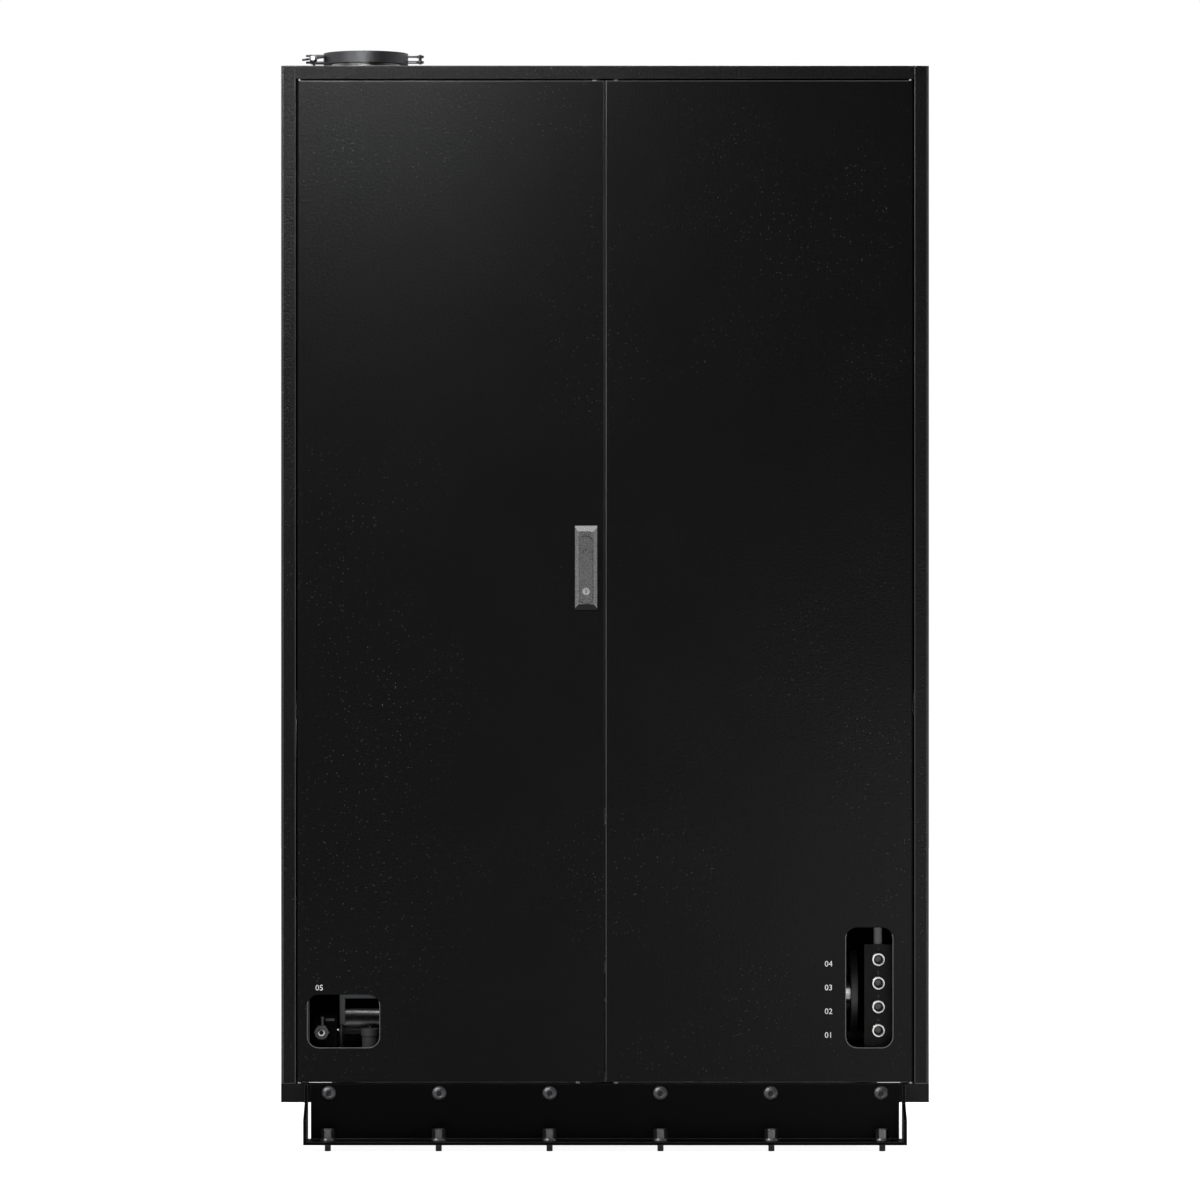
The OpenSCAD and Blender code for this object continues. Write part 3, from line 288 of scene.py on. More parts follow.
def carried(path, profile, closed=False, up=(0.0, 0.0, 1.0)):
    """A flat profile carried along a path. Each ring lies in the plane that halves the path's turn there, its
    first direction square to the path and to up, and it is stretched by 1 / cos(half the turn) to keep its
    width."""
    path, profile = np.asarray(path, float), np.asarray(profile, float)
    step = np.roll(path, -1, 0) - path
    step /= np.maximum(np.linalg.norm(step, axis=1, keepdims=True), 1e-12)
    before, after = np.roll(step, 1, 0), step.copy()
    if not closed:
        after[-1], before[0] = before[-1], after[0]
    ahead = before + after
    ahead /= np.linalg.norm(ahead, axis=1, keepdims=True)
    stretch = 1.0 / np.clip((ahead * after).sum(1), 0.2, 1.0)
    up = np.broadcast_to(np.asarray(up, float), ahead.shape)
    across = np.cross(ahead, up)
    across /= np.linalg.norm(across, axis=1, keepdims=True)
    over = np.cross(across, ahead)
    grid = (path[:, None] + profile[None, :, :1] * across[:, None] * stretch[:, None, None]
            + profile[None, :, 1:] * over[:, None])
    return (grid, True, True) if closed else (closed_ends(grid), False, True)


def ring_profile(radius, count=12):
    """A circle of points, as a profile."""
    a = np.linspace(0.0, 2 * math.pi, count, endpoint=False)
    return np.stack([radius * np.cos(a), radius * np.sin(a)], -1)


def round_outline(x0, z0, width, height, radius, steps=8):
    """Points (x, z) round a rectangle with circular corners, counter-clockwise from the lower right one."""
    corner = np.linspace(0.0, math.pi / 2, steps)
    middles = ((x0 + width - radius, z0 + radius, -0.5), (x0 + width - radius, z0 + height - radius, 0.0),
               (x0 + radius, z0 + height - radius, 0.5), (x0 + radius, z0 + radius, 1.0))
    return np.concatenate([np.stack([cx + radius * np.cos(corner + q * math.pi),
                                     cz + radius * np.sin(corner + q * math.pi)], -1) for cx, cz,
                           q in middles])


def bent_path(points, bend, steps=10):
    """A path of straight runs with circular bends: at each corner the arc starts and ends bend away from it,
    and its points are the corner's two neighbours mixed by a quarter circle's sine and cosine."""
    points = np.asarray(points, float)
    path = [points[:1]]
    quarter = np.linspace(0.0, math.pi / 2, steps)[:, None]
    for before, corner, after in zip(points[:-2], points[1:-1], points[2:]):
        a = corner + (before - corner) / np.linalg.norm(before - corner) * bend
        b = corner + (after - corner) / np.linalg.norm(after - corner) * bend
        centre = a + b - corner
        path.append(centre + (a - centre) * np.cos(quarter) + (b - centre) * np.sin(quarter))
    path.append(points[-1:])
    return np.concatenate(path)


def swept_tube(path, radius, count=32):
    """A round tube along a path in space: each ring is turned from the one before by the least amount."""
    path = np.asarray(path, float)
    step = np.diff(path, axis=0)
    step /= np.linalg.norm(step, axis=1, keepdims=True)
    ahead = np.concatenate([step[:1], step[:-1] + step[1:], step[-1:]])
    ahead /= np.linalg.norm(ahead, axis=1, keepdims=True)
    side = np.cross(ahead[0], (0.3, 0.5, 0.8))
    sides = []
    for t in ahead:
        side = side - t * side.dot(t)
        side = side / np.linalg.norm(side)
        sides.append(side)
    sides = np.array(sides)
    over = np.cross(ahead, sides)
    a = np.linspace(0.0, 2 * math.pi, count, endpoint=False)
    grid = path[:, None] + radius * (np.cos(a)[None, :, None] * sides[:, None]
                                     + np.sin(a)[None, :, None] * over[:, None])
    return closed_ends(grid), False, True


def block(low, high, ease=0.0):
    """A box between two corners as rounded rings: its outline, eased at the corners, carried up Z."""
    low, high = np.array(low, float), np.array(high, float)
    size = high - low
    outline = round_outline(low[0], low[1], size[0], size[1], max(ease, 1e-5), 4)
    drop = np.array([[ease, 0.0], [ease * 0.3, ease * 0.3], [0.0, ease]]) if ease else np.array([[0.0, 0.0]])
    middle = (low[:2] + high[:2]) / 2
    rings = []
    for inset, rise in drop:
        shrink = 1 - 2 * inset / size[:2]
        ring = middle + (outline - middle) * shrink
        rings.append((ring, low[2] + rise))
    for inset, rise in drop[::-1]:
        shrink = 1 - 2 * inset / size[:2]
        ring = middle + (outline - middle) * shrink
        rings.append((ring, high[2] - rise))
    grid = np.stack([np.column_stack([ring, np.full(len(ring), z)]) for ring, z in rings])
    return closed_ends(grid), False, True


# ---- Finishes ----

FINISHES = {}
REPLACED = set()


def node_material(name, colour, roughness, metallic=0.0, specular=0.5):
    """A plain shader with its constant numbers set on its own sockets, kept among the finishes."""
    material = bpy.data.materials.new(name)
    material.use_nodes = True
    tree = material.node_tree
    shader = tree.nodes["Principled BSDF"]
    shader.inputs["Base Color"].default_value = (*colour, 1.0)
    shader.inputs["Roughness"].default_value = roughness
    shader.inputs["Metallic"].default_value = metallic
    shader.inputs["Specular IOR Level"].default_value = specular
    FINISHES[name] = material
    return tree, shader, tree.nodes.new("ShaderNodeTexCoord").outputs["Object"]


def noise(tree, place, scale, detail=2.0, roughness=0.5):
    """A noise of so many grains a metre at a place."""
    texture = tree.nodes.new("ShaderNodeTexNoise")
    texture.inputs["Scale"].default_value = scale
    texture.inputs["Detail"].default_value = detail
    texture.inputs["Roughness"].default_value = roughness
    tree.links.new(place, texture.inputs["Vector"])
    return texture.outputs["Fac"]


def cells(tree, place, scale):
    """Cells, so many a metre: the random colour of each, split in its channels, and the distance from its
    middle."""
    texture = tree.nodes.new("ShaderNodeTexVoronoi")
    texture.inputs["Scale"].default_value = scale
    tree.links.new(place, texture.inputs["Vector"])
    pick = tree.nodes.new("ShaderNodeSeparateColor")
    tree.links.new(texture.outputs["Color"], pick.inputs["Color"])
    return pick.outputs, texture.outputs["Distance"]


def stretched(tree, place, scale):
    """The place with its axes scaled, so that a pattern runs along one of them."""
    mapping = tree.nodes.new("ShaderNodeMapping")
    mapping.inputs["Scale"].default_value = scale
    tree.links.new(place, mapping.inputs["Vector"])
    return mapping.outputs["Vector"]


def add_tint(tree, shader, value, colour, share, start=0.3, end=0.7):
    """The base colour: from a share darker to a share lighter as value goes from start to end."""
    node = tree.nodes.new("ShaderNodeValToRGB")
    for element, position, way in zip(node.color_ramp.elements, (start, end), (-1, 1)):
        element.position = position
        element.color = (*(c * (1 + way * share) for c in colour), 1.0)
    tree.links.new(value, node.inputs["Fac"])
    tree.links.new(node.outputs["Color"], shader.inputs["Base Color"])
    return node.outputs["Color"]


def add_gloss(tree, shader, value, low, high, start=0.3, end=0.7):
    """The roughness: from low to high as value goes from start to end."""
    tree.links.new(spread(tree, value, low, high, start, end), shader.inputs["Roughness"])


def add_bump(tree, shader, height, strength, distance):
    """A relief from height, distance deep at full strength."""
    bump = tree.nodes.new("ShaderNodeBump")
    bump.inputs["Strength"].default_value = strength
    bump.inputs["Distance"].default_value = distance
    tree.links.new(height, bump.inputs["Height"])
    previous = shader.inputs["Normal"].links
    if previous:
        tree.links.new(previous[0].from_socket, bump.inputs["Normal"])
    tree.links.new(bump.outputs["Normal"], shader.inputs["Normal"])


def powder_coat(name, colour, roughness, depth=0.00003, flecks=0.0, specular=0.2, leather=0.0):
    """Powder coat: a fine pebbled relief, a faint cloudiness and, in a textured black, a leathery relief of a
    few millimetres and clusters of bright flecks."""
    tree, shader, place = node_material(name, colour, roughness, specular=specular)
    base = add_tint(tree, shader, noise(tree, place, 6.0, 3.0), colour, 0.18)
    pebbles = noise(tree, place, 900.0, 2.0, 0.6)
    if flecks:
        channels, distance = cells(tree, place, 330.0)
        chosen = spread(tree, channels["Red"], 0.0, 1.0, 1 - flecks, 1 - flecks * 0.6)
        near = spread(tree, distance, 1.0, 0.0, 0.16, 0.36)
        zone = spread(tree, noise(tree, place, 3.0, 3.0), 0.08, 1.0, 0.47, 0.60)
        fleck = combined(tree, "MULTIPLY", combined(tree, "MULTIPLY", chosen, near), zone)
        mix = tree.nodes.new("ShaderNodeMix")
        mix.data_type = "RGBA"
        mix.inputs["B"].default_value = (0.075, 0.066, 0.058, 1.0)
        tree.links.new(fleck, mix.inputs["Factor"])
        tree.links.new(base, mix.inputs["A"])
        tree.links.new(mix.outputs["Result"], shader.inputs["Base Color"])
    add_bump(tree, shader, pebbles, 1.0, depth)
    swing, grain = 0.08, pebbles
    if leather:
        swing, grain = leather * 60.0, noise(tree, place, 210.0, 2.0, 0.6)
        add_bump(tree, shader, grain, 1.0, leather)
    add_gloss(tree, shader, grain, roughness - swing, roughness + swing)


def metal_paint(name, colour, roughness, metallic):
    """Silver-grey lacquer on die-cast zinc: a sandy grain that breaks up the gloss over a part-metallic
    base."""
    tree, shader, place = node_material(name, colour, roughness, metallic=metallic)
    grain = noise(tree, place, 520.0, 4.0, 0.8)
    add_tint(tree, shader, grain, colour, 0.34, 0.32, 0.68)
    add_gloss(tree, shader, grain, roughness - 0.07, roughness + 0.09)
    add_bump(tree, shader, grain, 0.8, 0.00004)


def brushed_metal(name, colour, roughness, along=(1.0, 1.0, 0.06)):
    """Drawn or brushed metal: hair lines along one axis in its roughness and relief, and a faint tint
    change."""
    tree, shader, place = node_material(name, colour, roughness, metallic=1.0)
    lines = noise(tree, stretched(tree, place, along), 900.0, 3.0, 0.65)
    add_tint(tree, shader, noise(tree, place, 14.0, 4.0), colour, 0.1)
    add_gloss(tree, shader, lines, roughness - 0.1, roughness + 0.12)
    add_bump(tree, shader, lines, 0.35, 0.00002)


def plated_metal(name, colour, roughness, spangle=0.0):
    """Zinc or nickel plate: cloudy roughness, small pits and, on galvanised sheet, large frosted spangles."""
    tree, shader, place = node_material(name, colour, roughness, metallic=1.0)
    cloud = noise(tree, place, 120.0, 4.0, 0.6)
    value = cells(tree, place, spangle)[0]["Green"] if spangle else cloud
    add_tint(tree, shader, value, colour, 0.16, 0.15, 0.85)
    add_gloss(tree, shader, value, roughness - 0.08, roughness + 0.1, 0.2, 0.8)
    add_bump(tree, shader, cloud, 0.4, 0.00004)


def enamel(name, colour, roughness, coat=0.3):
    """Sprayed enamel on a casting: a low orange-peel relief, an uneven film and a thin clear coat."""
    tree, shader, place = node_material(name, colour, roughness)
    shader.inputs["Coat Weight"].default_value = coat
    shader.inputs["Coat Roughness"].default_value = 0.22
    add_tint(tree, shader, noise(tree, place, 9.0, 5.0), colour, 0.14)
    add_bump(tree, shader, noise(tree, place, 260.0, 2.0), 0.5, 0.00008)


def moulded(name, colour, roughness, grain=1400.0):
    """Moulded plastic or rubber: a spark-eroded grain and slightly uneven gloss."""
    tree, shader, place = node_material(name, colour, roughness)
    fine = noise(tree, place, grain, 2.0, 0.7)
    add_tint(tree, shader, noise(tree, place, 22.0, 3.0), colour, 0.08)
    add_gloss(tree, shader, fine, roughness - 0.06, roughness + 0.08)
    add_bump(tree, shader, fine, 0.5, 0.00003)


def make_finishes():
    """One material for each of the record's slots, and a few for the small pieces."""
    powder_coat("frame_black", (0.0024, 0.0024, 0.0026), 0.37, flecks=0.09, specular=0.17, leather=0.0011)
    powder_coat("panel_black", (0.0018, 0.0018, 0.0020), 0.36, flecks=0.06, specular=0.13, leather=0.00042)
    powder_coat("bracket_black", (0.0009, 0.0009, 0.0010), 0.34, depth=0.00002, specular=0.05)
    plated_metal("screw_grey", (0.105, 0.105, 0.11), 0.40)
    moulded("tube_grey", (0.26, 0.262, 0.255), 0.75)
    # a dark grey, darker than the sensor's light grey, for parts inside the cabinet: painted shade of its dim
    # inside
    moulded("cap_grey", (0.030, 0.030, 0.030), 0.70)
    # a lighter copy of the handle's paint for faces turned up: painted highlight
    metal_paint("handle_painted_highlight", (0.60, 0.60, 0.60), 0.27, 0.94)
    # grey of the windows' chamfers, lighter than the door's black: painted highlight
    moulded("lip_painted_highlight_grey", (0.105, 0.105, 0.107), 0.60)
    plated_metal("flange_grey", (0.13, 0.13, 0.135), 0.62)
    brushed_metal("header_bright", (0.34, 0.34, 0.34), 0.17, (0.06, 1.0, 1.0))
    # a darker copy of the handle's paint for faces turned down: painted shade
    metal_paint("handle_painted_shade", (0.012, 0.012, 0.012), 0.45, 0.3)
    # a lighter, glossier black for eased edges: painted edge highlight
    powder_coat("edge_painted_highlight_black", (0.036, 0.036, 0.037), 0.32, depth=0.00001, specular=1.0)
    plated_metal("zinc_steel", (0.42, 0.43, 0.44), 0.36)
    plated_metal("anchor_steel", (0.14, 0.14, 0.145), 0.36)
    metal_paint("handle_grey", (0.30, 0.30, 0.305), 0.27, 0.94)
    plated_metal("lock_silver", (0.72, 0.72, 0.71), 0.30)
    brushed_metal("stainless", (0.50, 0.50, 0.49), 0.30)
    brushed_metal("clamp_steel", (0.080, 0.081, 0.085), 0.46, (0.1, 0.1, 1.0))
    plated_metal("galvanised", (0.46, 0.47, 0.48), 0.46, spangle=90.0)
    enamel("pump_paint", (0.055, 0.095, 0.14), 0.42)
    enamel("motor_paint", (0.060, 0.068, 0.075), 0.45)
    enamel("exchanger_blue", (0.035, 0.085, 0.16), 0.40)
    enamel("valve_iron", (0.055, 0.060, 0.065), 0.50, 0.1)
    moulded("actuator_blue", (0.018, 0.075, 0.20), 0.42)
    powder_coat("enclosure_grey", (0.36, 0.37, 0.38), 0.48, depth=0.00003, specular=0.5)
    moulded("knob_red", (0.42, 0.012, 0.010), 0.36)
    plated_metal("port_nickel", (0.62, 0.61, 0.59), 0.26)
    plated_metal("foot_grey", (0.20, 0.205, 0.21), 0.45)
    moulded("sensor_grey", (0.42, 0.43, 0.44), 0.42)
    # a dim grey, darker than the galvanised strips it stands for: painted shade of the cabinet's dim inside;
    # also the print of the ports' small numbers
    plated_metal("strip_grey", (0.075, 0.077, 0.08), 0.50)
    brushed_metal("dark_pipe", (0.16, 0.16, 0.165), 0.34, (0.06, 1.0, 1.0))
    moulded("print_white", (0.62, 0.62, 0.62), 0.60)
    moulded("nylon_white", (0.78, 0.78, 0.77), 0.40)
    moulded("gasket_black", (0.012, 0.012, 0.012), 0.75, 700.0)
    # black of dark plastic parts, and painted shade in the screws' sockets, the relief valve's bore, the
    # keyway and the lever's seat
    moulded("black_and_painted_shade", (0.010, 0.010, 0.010), 0.60)


# ---- Placing ----

def finish_piece(piece, body, slot, finish=None, bevel=0.0):
    """Gives a piece its finish, the slot's own unless finish is given, and its body, and eases its edges by
    bevel metres.
    """
    piece.data.materials.clear()
    piece.data.materials.append(FINISHES[finish or slot])
    if bevel:
        ease = piece.modifiers.new("ease", "BEVEL")
        ease.width = bevel
        ease.segments = 2
        ease.limit_method = "ANGLE"
        ease.angle_limit = math.radians(SHARP)
        ease.use_clamp_overlap = True
        ease.harden_normals = True
    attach(piece, body)
    return piece


def mark_outline(mesh):
    """Marks for easing the edges that lie on two faces of the mesh's own box, which are its outer arrises,
    leaving out those along its bottom.
    """
    points = np.empty(len(mesh.vertices) * 3, np.float32)
    mesh.vertices.foreach_get("co", points)
    points = points.reshape(-1, 3)
    ends = np.empty(len(mesh.edges) * 2, np.int32)
    mesh.edges.foreach_get("vertices", ends)
    pair = points[ends.reshape(-1, 2)]
    on_low = (np.abs(pair - points.min(0)) < 1e-5).all(1)
    on_high = (np.abs(pair - points.max(0)) < 1e-5).all(1)
    outer = ((on_low.sum(1) + on_high.sum(1) >= 2) & ~on_low[:, 2]).astype(np.float32)
    mesh.attributes.new("bevel_weight_edge", "FLOAT", "EDGE").data.foreach_set("value", outer)


def dressed(node, bevel, finish=None, edge=None, outline_only=False):
    """A node's own shape, welded, with flat faces joined and edges eased, in place of the node. edge is the
    finish of the eased edges: a lighter, glossier coat than the part's own, which paints a highlight along
    them; outline_only eases just the outer arrises."""
    mesh = frame["nodes"][node].data.copy()
    mesh.name = node + "_skin"
    if mesh.has_custom_normals:
        loose = bpy.data.objects.new("loose", mesh)
        bpy.context.scene.collection.objects.link(loose)
        with bpy.context.temp_override(object=loose, active_object=loose):
            bpy.ops.mesh.customdata_custom_splitnormals_clear()
        bpy.data.objects.remove(loose)
    tidy_mesh(mesh, SHARP, flat=True)
    piece = bpy.data.objects.new(node + "_skin", mesh)
    bpy.context.scene.collection.objects.link(piece)
    finish_piece(piece, BODY_OF[node], SLOT_OF[node], finish, bevel)
    if outline_only:
        mark_outline(mesh)
        piece.modifiers["ease"].limit_method = "WEIGHT"
        piece.modifiers["ease"].use_clamp_overlap = False
    # the eased edges take the second finish, a painted highlight
    if edge:
        piece.data.materials.append(FINISHES[edge])
        piece.modifiers["ease"].material = 1
    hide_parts(node)


def corners(node):
    """The node's lowest and highest corner, as arrays."""
    low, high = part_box(node)
    return np.array(low), np.array(high)


# ---- Pieces ----

def mm(*points):
    """Points given in millimetres, in metres."""
    return np.array(points) * MM


def stand_for(node):
    """Shows the piece in place of the node."""
    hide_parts(node)
    REPLACED.add(node)


def made(name, grids, home, finish=None, bevel=0.0, crease=SHARP, stands=False):
    """One finished piece from its grids. home is the node that it belongs to, and may stand for, or the slot
    of a small piece that belongs to the cabinet."""
    body, slot = (BODY_OF[home], SLOT_OF[home]) if home in SLOT_OF else (CABINET, home)
    piece = finish_piece(grid_object(name, grids, crease), body, slot, finish, bevel)
    if stands:
        stand_for(home)
    return piece


def hexed(rows):
    """radius_of for turned(): the rows marked True are hexagons, the others stay round."""
    mask = np.array(rows, bool)[:, None]
    return lambda r, h, a: np.where(mask, hexagon(a, 2 * r), r)


def ring_of(profile, base, axis="z", count=48, radius_of=None):
    """A turned ring: as turned(), but the profile closes on itself and the middle stays open."""
    grid = turned(profile, base, axis, count, radius_of)[0][1:-1]
    return grid, True, True


def bead(centre, axis, radius, width=0.004):
    """A weld bead round a pipe: a low half-round ring, its height 0.4 of its width."""
    t = np.linspace(0.0, math.pi, 5)
    profile = np.stack([radius - 0.0005 + 0.4 * width * np.sin(t), width / 2 * np.cos(t)], -1)
    return ring_of(profile, centre, axis, 40)


def bolt_heads(centre, axis, circle, count, radius, height, start=0.5):
    """Hexagonal heads with a chamfered top, evenly spaced on a circle across axis."""
    u, v, w = (np.array(t, float) for t in AXES[axis])
    profile = [(radius, -0.001), (radius, height * 0.8), (radius * 0.86, height)]
    heads = []
    for k in range(count):
        a = 2 * math.pi * (k + start) / count
        place = np.array(centre) + circle * (math.cos(a) * u + math.sin(a) * v)
        heads.append(turned(profile, place, axis, 12, hexed((True, True, False))))
    return heads


def number(text, place, height, body, finish="print_white"):
    """A plain printed number: its outline, 0.1 mm thick, set upright on the surface at place."""
    curve = bpy.data.curves.new("number", "FONT")
    curve.body = text
    curve.size = height * 1.42
    curve.align_x, curve.align_y = "CENTER", "CENTER"
    curve.extrude = 0.00005
    curve.resolution_u = 3
    shape = bpy.data.objects.new("number", curve)
    bpy.context.scene.collection.objects.link(shape)
    mesh = bpy.data.meshes.new_from_object(shape.evaluated_get(bpy.context.evaluated_depsgraph_get()))
    bpy.data.objects.remove(shape)
    flat = np.empty(len(mesh.vertices) * 3, np.float32)
    mesh.vertices.foreach_get("co", flat)
    flat = flat.reshape(-1, 3)
    upright = np.stack([place[0] + flat[:, 0], place[1] - flat[:, 2], place[2] + flat[:, 1]], -1)
    mesh.vertices.foreach_set("co", upright.astype(np.float32).ravel())
    mesh.update()
    piece = bpy.data.objects.new("number_%s_%d" % (text, len(bpy.data.objects)), mesh)
    bpy.context.scene.collection.objects.link(piece)
    mesh.materials.clear()
    return finish_piece(piece, body, "enclosure_grey", finish)


def paint_faces(piece, quantity, choose, *finishes):
    """Gives the piece more finishes and each face the one whose number choose works out from the face's
    quantity."""
    for finish in finishes:
        piece.data.materials.append(FINISHES[finish])
    found = np.empty(len(piece.data.polygons) * 3, np.float32)
    piece.data.polygons.foreach_get(quantity, found)
    piece.data.polygons.foreach_set("material_index", choose(found.reshape(-1, 3)).astype(np.int32))


def window_lip(side, x0, z0, width, height, radius):
    """The dressed edge of a window: a narrow chamfer towards the opening, carried round its outline, in a
    lighter grey than the door, a painted highlight. Its upper part, which faces down, keeps the door's
    black as painted shade."""
    outline = round_outline(x0, z0, width, height, radius, 9)
    path = np.stack([outline[:, 0], np.full(len(outline), FRONT_Y + 0.0004), outline[:, 1]], -1)
    profile = mm((-1.3, 0.1), (-0.9, 0.55), (-0.2, 0.6), (0.5, -0.4), (0.5, -1.2), (-1.3, -1.2))
    piece = made(side + "_window_lip", [carried(path, profile, True, (0.0, -1.0, 0.0))], "door_" + side,
                 "lip_painted_highlight_grey")
    # painted shade: faces of the lip's upper part take the door's black
    paint_faces(piece, "center", lambda middle: middle[:, 2] > z0 + height - radius * 0.6, "panel_black")


def socket_screws(name, home, places, axis, head, rise, shank, length, socket, finish=None, stands=False):
    """Button-head screws: a domed head with a hexagonal socket, and a round shank behind it."""
    dome = np.linspace(math.radians(62), 0.0, 7)
    rows = [(socket * 0.55, rise * 0.36), (socket, rise * 0.42), (socket, rise * 0.93),
            (socket * 1.12, rise * 0.985)]
    rows += [(head * math.cos(d), rise * (0.22 + 0.78 * math.sin(d) / math.sin(dome[0]))) for d in dome]
    rows += [(head, rise * 0.05), (head * 0.97, 0.0), (shank, 0.0), (shank, -length)]
    marks = [True, True, True] + [False] * (len(rows) - 3)
    made(name, [turned(rows, place, axis, 48, hexed(marks)) for place in places], home, finish, crease=32.0,
         stands=stands)


def anchors():
    """Floor anchors: a conical flange, a hexagon with a chamfered top, and a shank with a ringed thread."""
    ridge = np.arange(-18.6, -7.0, 0.9)
    thread = [(5.4 if k % 2 else 6.0, h) for k, h in enumerate(ridge)]
    rows = [(4.6, -19.0)] + thread + [(6.0, -6.0), (6.0, 0.0), (13.8, 0.0), (14.0, 0.5), (14.0, 1.5),
                                      (12.4, 4.4), (12.3, 5.0), (12.5, 5.1), (12.5, 20.4), (11.3, 21.8),
                                      (10.2, 22.0), (9.8, 21.6)]
    marks = [False] * (len(rows) - 5) + [True, True, False, False, False]
    rows = np.array(rows) * MM
    grids = [turned(rows, (x * MM, side * 0.651, 0.019), "z", 48, hexed(marks)) for side in (-1, 1)
             for x in BOLT_XS]
    made("floor_anchor_bolts", grids, "floor_anchors", crease=30.0, stands=True)


def pipe(node, points):
    """A connection pipe: straight runs and round bends, a thin-walled open end with its clamping ferrule on
    top, a flashing collar on the roof and a weld bead at each end of a bend."""
    foot = (*points[0][:2], 0.0)
    cup = mm((60.0, 1849.0), (63.5, 1849.0), (63.5, 2006.0), (63.5, 2024.6), (64.4, 2026.0), (67.2, 2027.6),
             (71.0, 2029.0), (72.25, 2029.6), (72.25, 2030.6), (71.8, 2031.0), (68.6, 2031.0), (68.0, 2030.2),
             (67.0, 2029.9), (66.0, 2030.2), (65.4, 2031.0), (61.6, 2031.0), (61.0, 2030.4), (61.0, 1851.0),
             (58.0, 1851.0))
    collar = mm((64.2, 2006.0), (73.2, 2006.0), (73.5, 2006.3), (73.3, 2007.6), (70.0, 2008.4),
                (66.4, 2009.0), (65.0, 2011.6), (64.2, 2011.8))
    made(node + "_bent", [swept_tube(bent_path(points, BEND, 14), PIPE_R, 48), turned(cup, foot, "z", 64)]
         + [bead(place, axis, PIPE_R) for place, axis in bend_welds(points, BEND)], node, crease=40.0,
         stands=True)
    made(node + "_bent_collar", [ring_of(collar, foot, "z", 64)], "roof_panel", "gasket_black")


def bend_welds(points, bend):
    """Places and axes of the weld beads at both ends of every bend."""
    points = np.asarray(points, float)
    found = []
    for before, corner, after in zip(points[:-2], points[1:-1], points[2:]):
        for other in (before, after):
            way = (other - corner) / np.linalg.norm(other - corner)
            found.append((corner + way * bend, "xyz"[int(np.argmax(np.abs(way)))]))
    return found


def pipes():
    """The four connection pipes, along the same lines as the frame's; the third is broken by its control
    valve."""
    runs = {"coolant_return_pipe": ((PIPE_X, -0.43, 1.849), (PIPE_X, -0.43, 1.043), (-0.262, -0.43, 1.043)),
            "facility_supply_pipe": ((PIPE_X, -0.18, 1.849), (PIPE_X, -0.18, 1.050), (-0.08, -0.18, 1.050),
                                     (-0.08, 0.10, 1.050)),
            "facility_return_pipe": ((PIPE_X, 0.15, 1.849), (PIPE_X, 0.15, 0.8603)),
            "coolant_supply_pipe": ((PIPE_X, 0.42, 1.849), (PIPE_X, 0.42, 1.313), (0.08, 0.42, 1.313),
                                    (0.08, 0.02, 1.313), (0.08, 0.02, 1.050), (0.08, 0.10, 1.050))}
    for node, points in runs.items():
        pipe(node, points)
    lower = ((PIPE_X, 0.15, 0.7397), (PIPE_X, 0.15, 0.40), (PIPE_X, 0.02, 0.40), (-0.08, 0.02, 0.40),
             (-0.08, 0.10, 0.40))
    made("facility_return_lower", [swept_tube(bent_path(lower, TIGHT_BEND, 14), PIPE_R, 48)]
         + [bead(place, axis, PIPE_R) for place, axis in bend_welds(lower, TIGHT_BEND)], "stainless",
         crease=40.0)


def tank():
    """The reservoir: a rolled shell with a domed top, weld beads, two straps, a side nozzle and a sight
    tube."""
    x, y, z0, z1, r = -0.15, -0.445, 0.843, 1.503, 0.100
    t = np.linspace(0.0, math.pi / 2, 10)
    rows = [(r * 0.55, z0), (r - 0.012, z0), (r - 0.003, z0 + 0.004), (r, z0 + 0.014)]
    rows += [(r * math.cos(a), z1 - 0.040 + 0.040 * math.sin(a)) for a in t[:-1]] + [(0.004, z1)]
    grids = [turned(rows, (x, y, 0.0), "z", 64),
             turned([(0.0715, -0.262), (0.0715, -0.17)], (0.0, -0.43, 1.043), "x", 48)]
    grids += [bead((x, y, z), "z", r, 0.006) for z in (z0 + 0.03, z1 - 0.042, z0 + 0.33)]
    strap = [(r, -0.012), (r + 0.0022, -0.0115), (r + 0.0022, 0.0115), (r, 0.012)]
    grids += [ring_of(strap, (x, y, z), "z", 64) for z in (z0 + 0.10, z1 - 0.13)]
    grids += [ring_of([(0.0635, -0.272), (0.0795, -0.272), (0.0800, -0.2715), (0.0800, -0.2625),
                       (0.0795, -0.262), (0.0635, -0.262)], (0.0, -0.43, 1.043), "x", 48)]
    made("reservoir_shell", grids, "reservoir_tank", crease=40.0, stands=True)
    glass = [turned([(0.0045, 0.0), (0.0045, 0.34)], (x, y - 0.0955, z0 + 0.17), "z", 16)]
    made("sight_tube", glass, "sensor_grey", "nylon_white")
    ends = [block((x - 0.009, y - 0.1015, z), (x + 0.009, y - 0.0900, z + 0.022), 0.001)
            for z in (z0 + 0.155, z0 + 0.505)]
    made("sight_tube_ends", ends, "port_nickel")


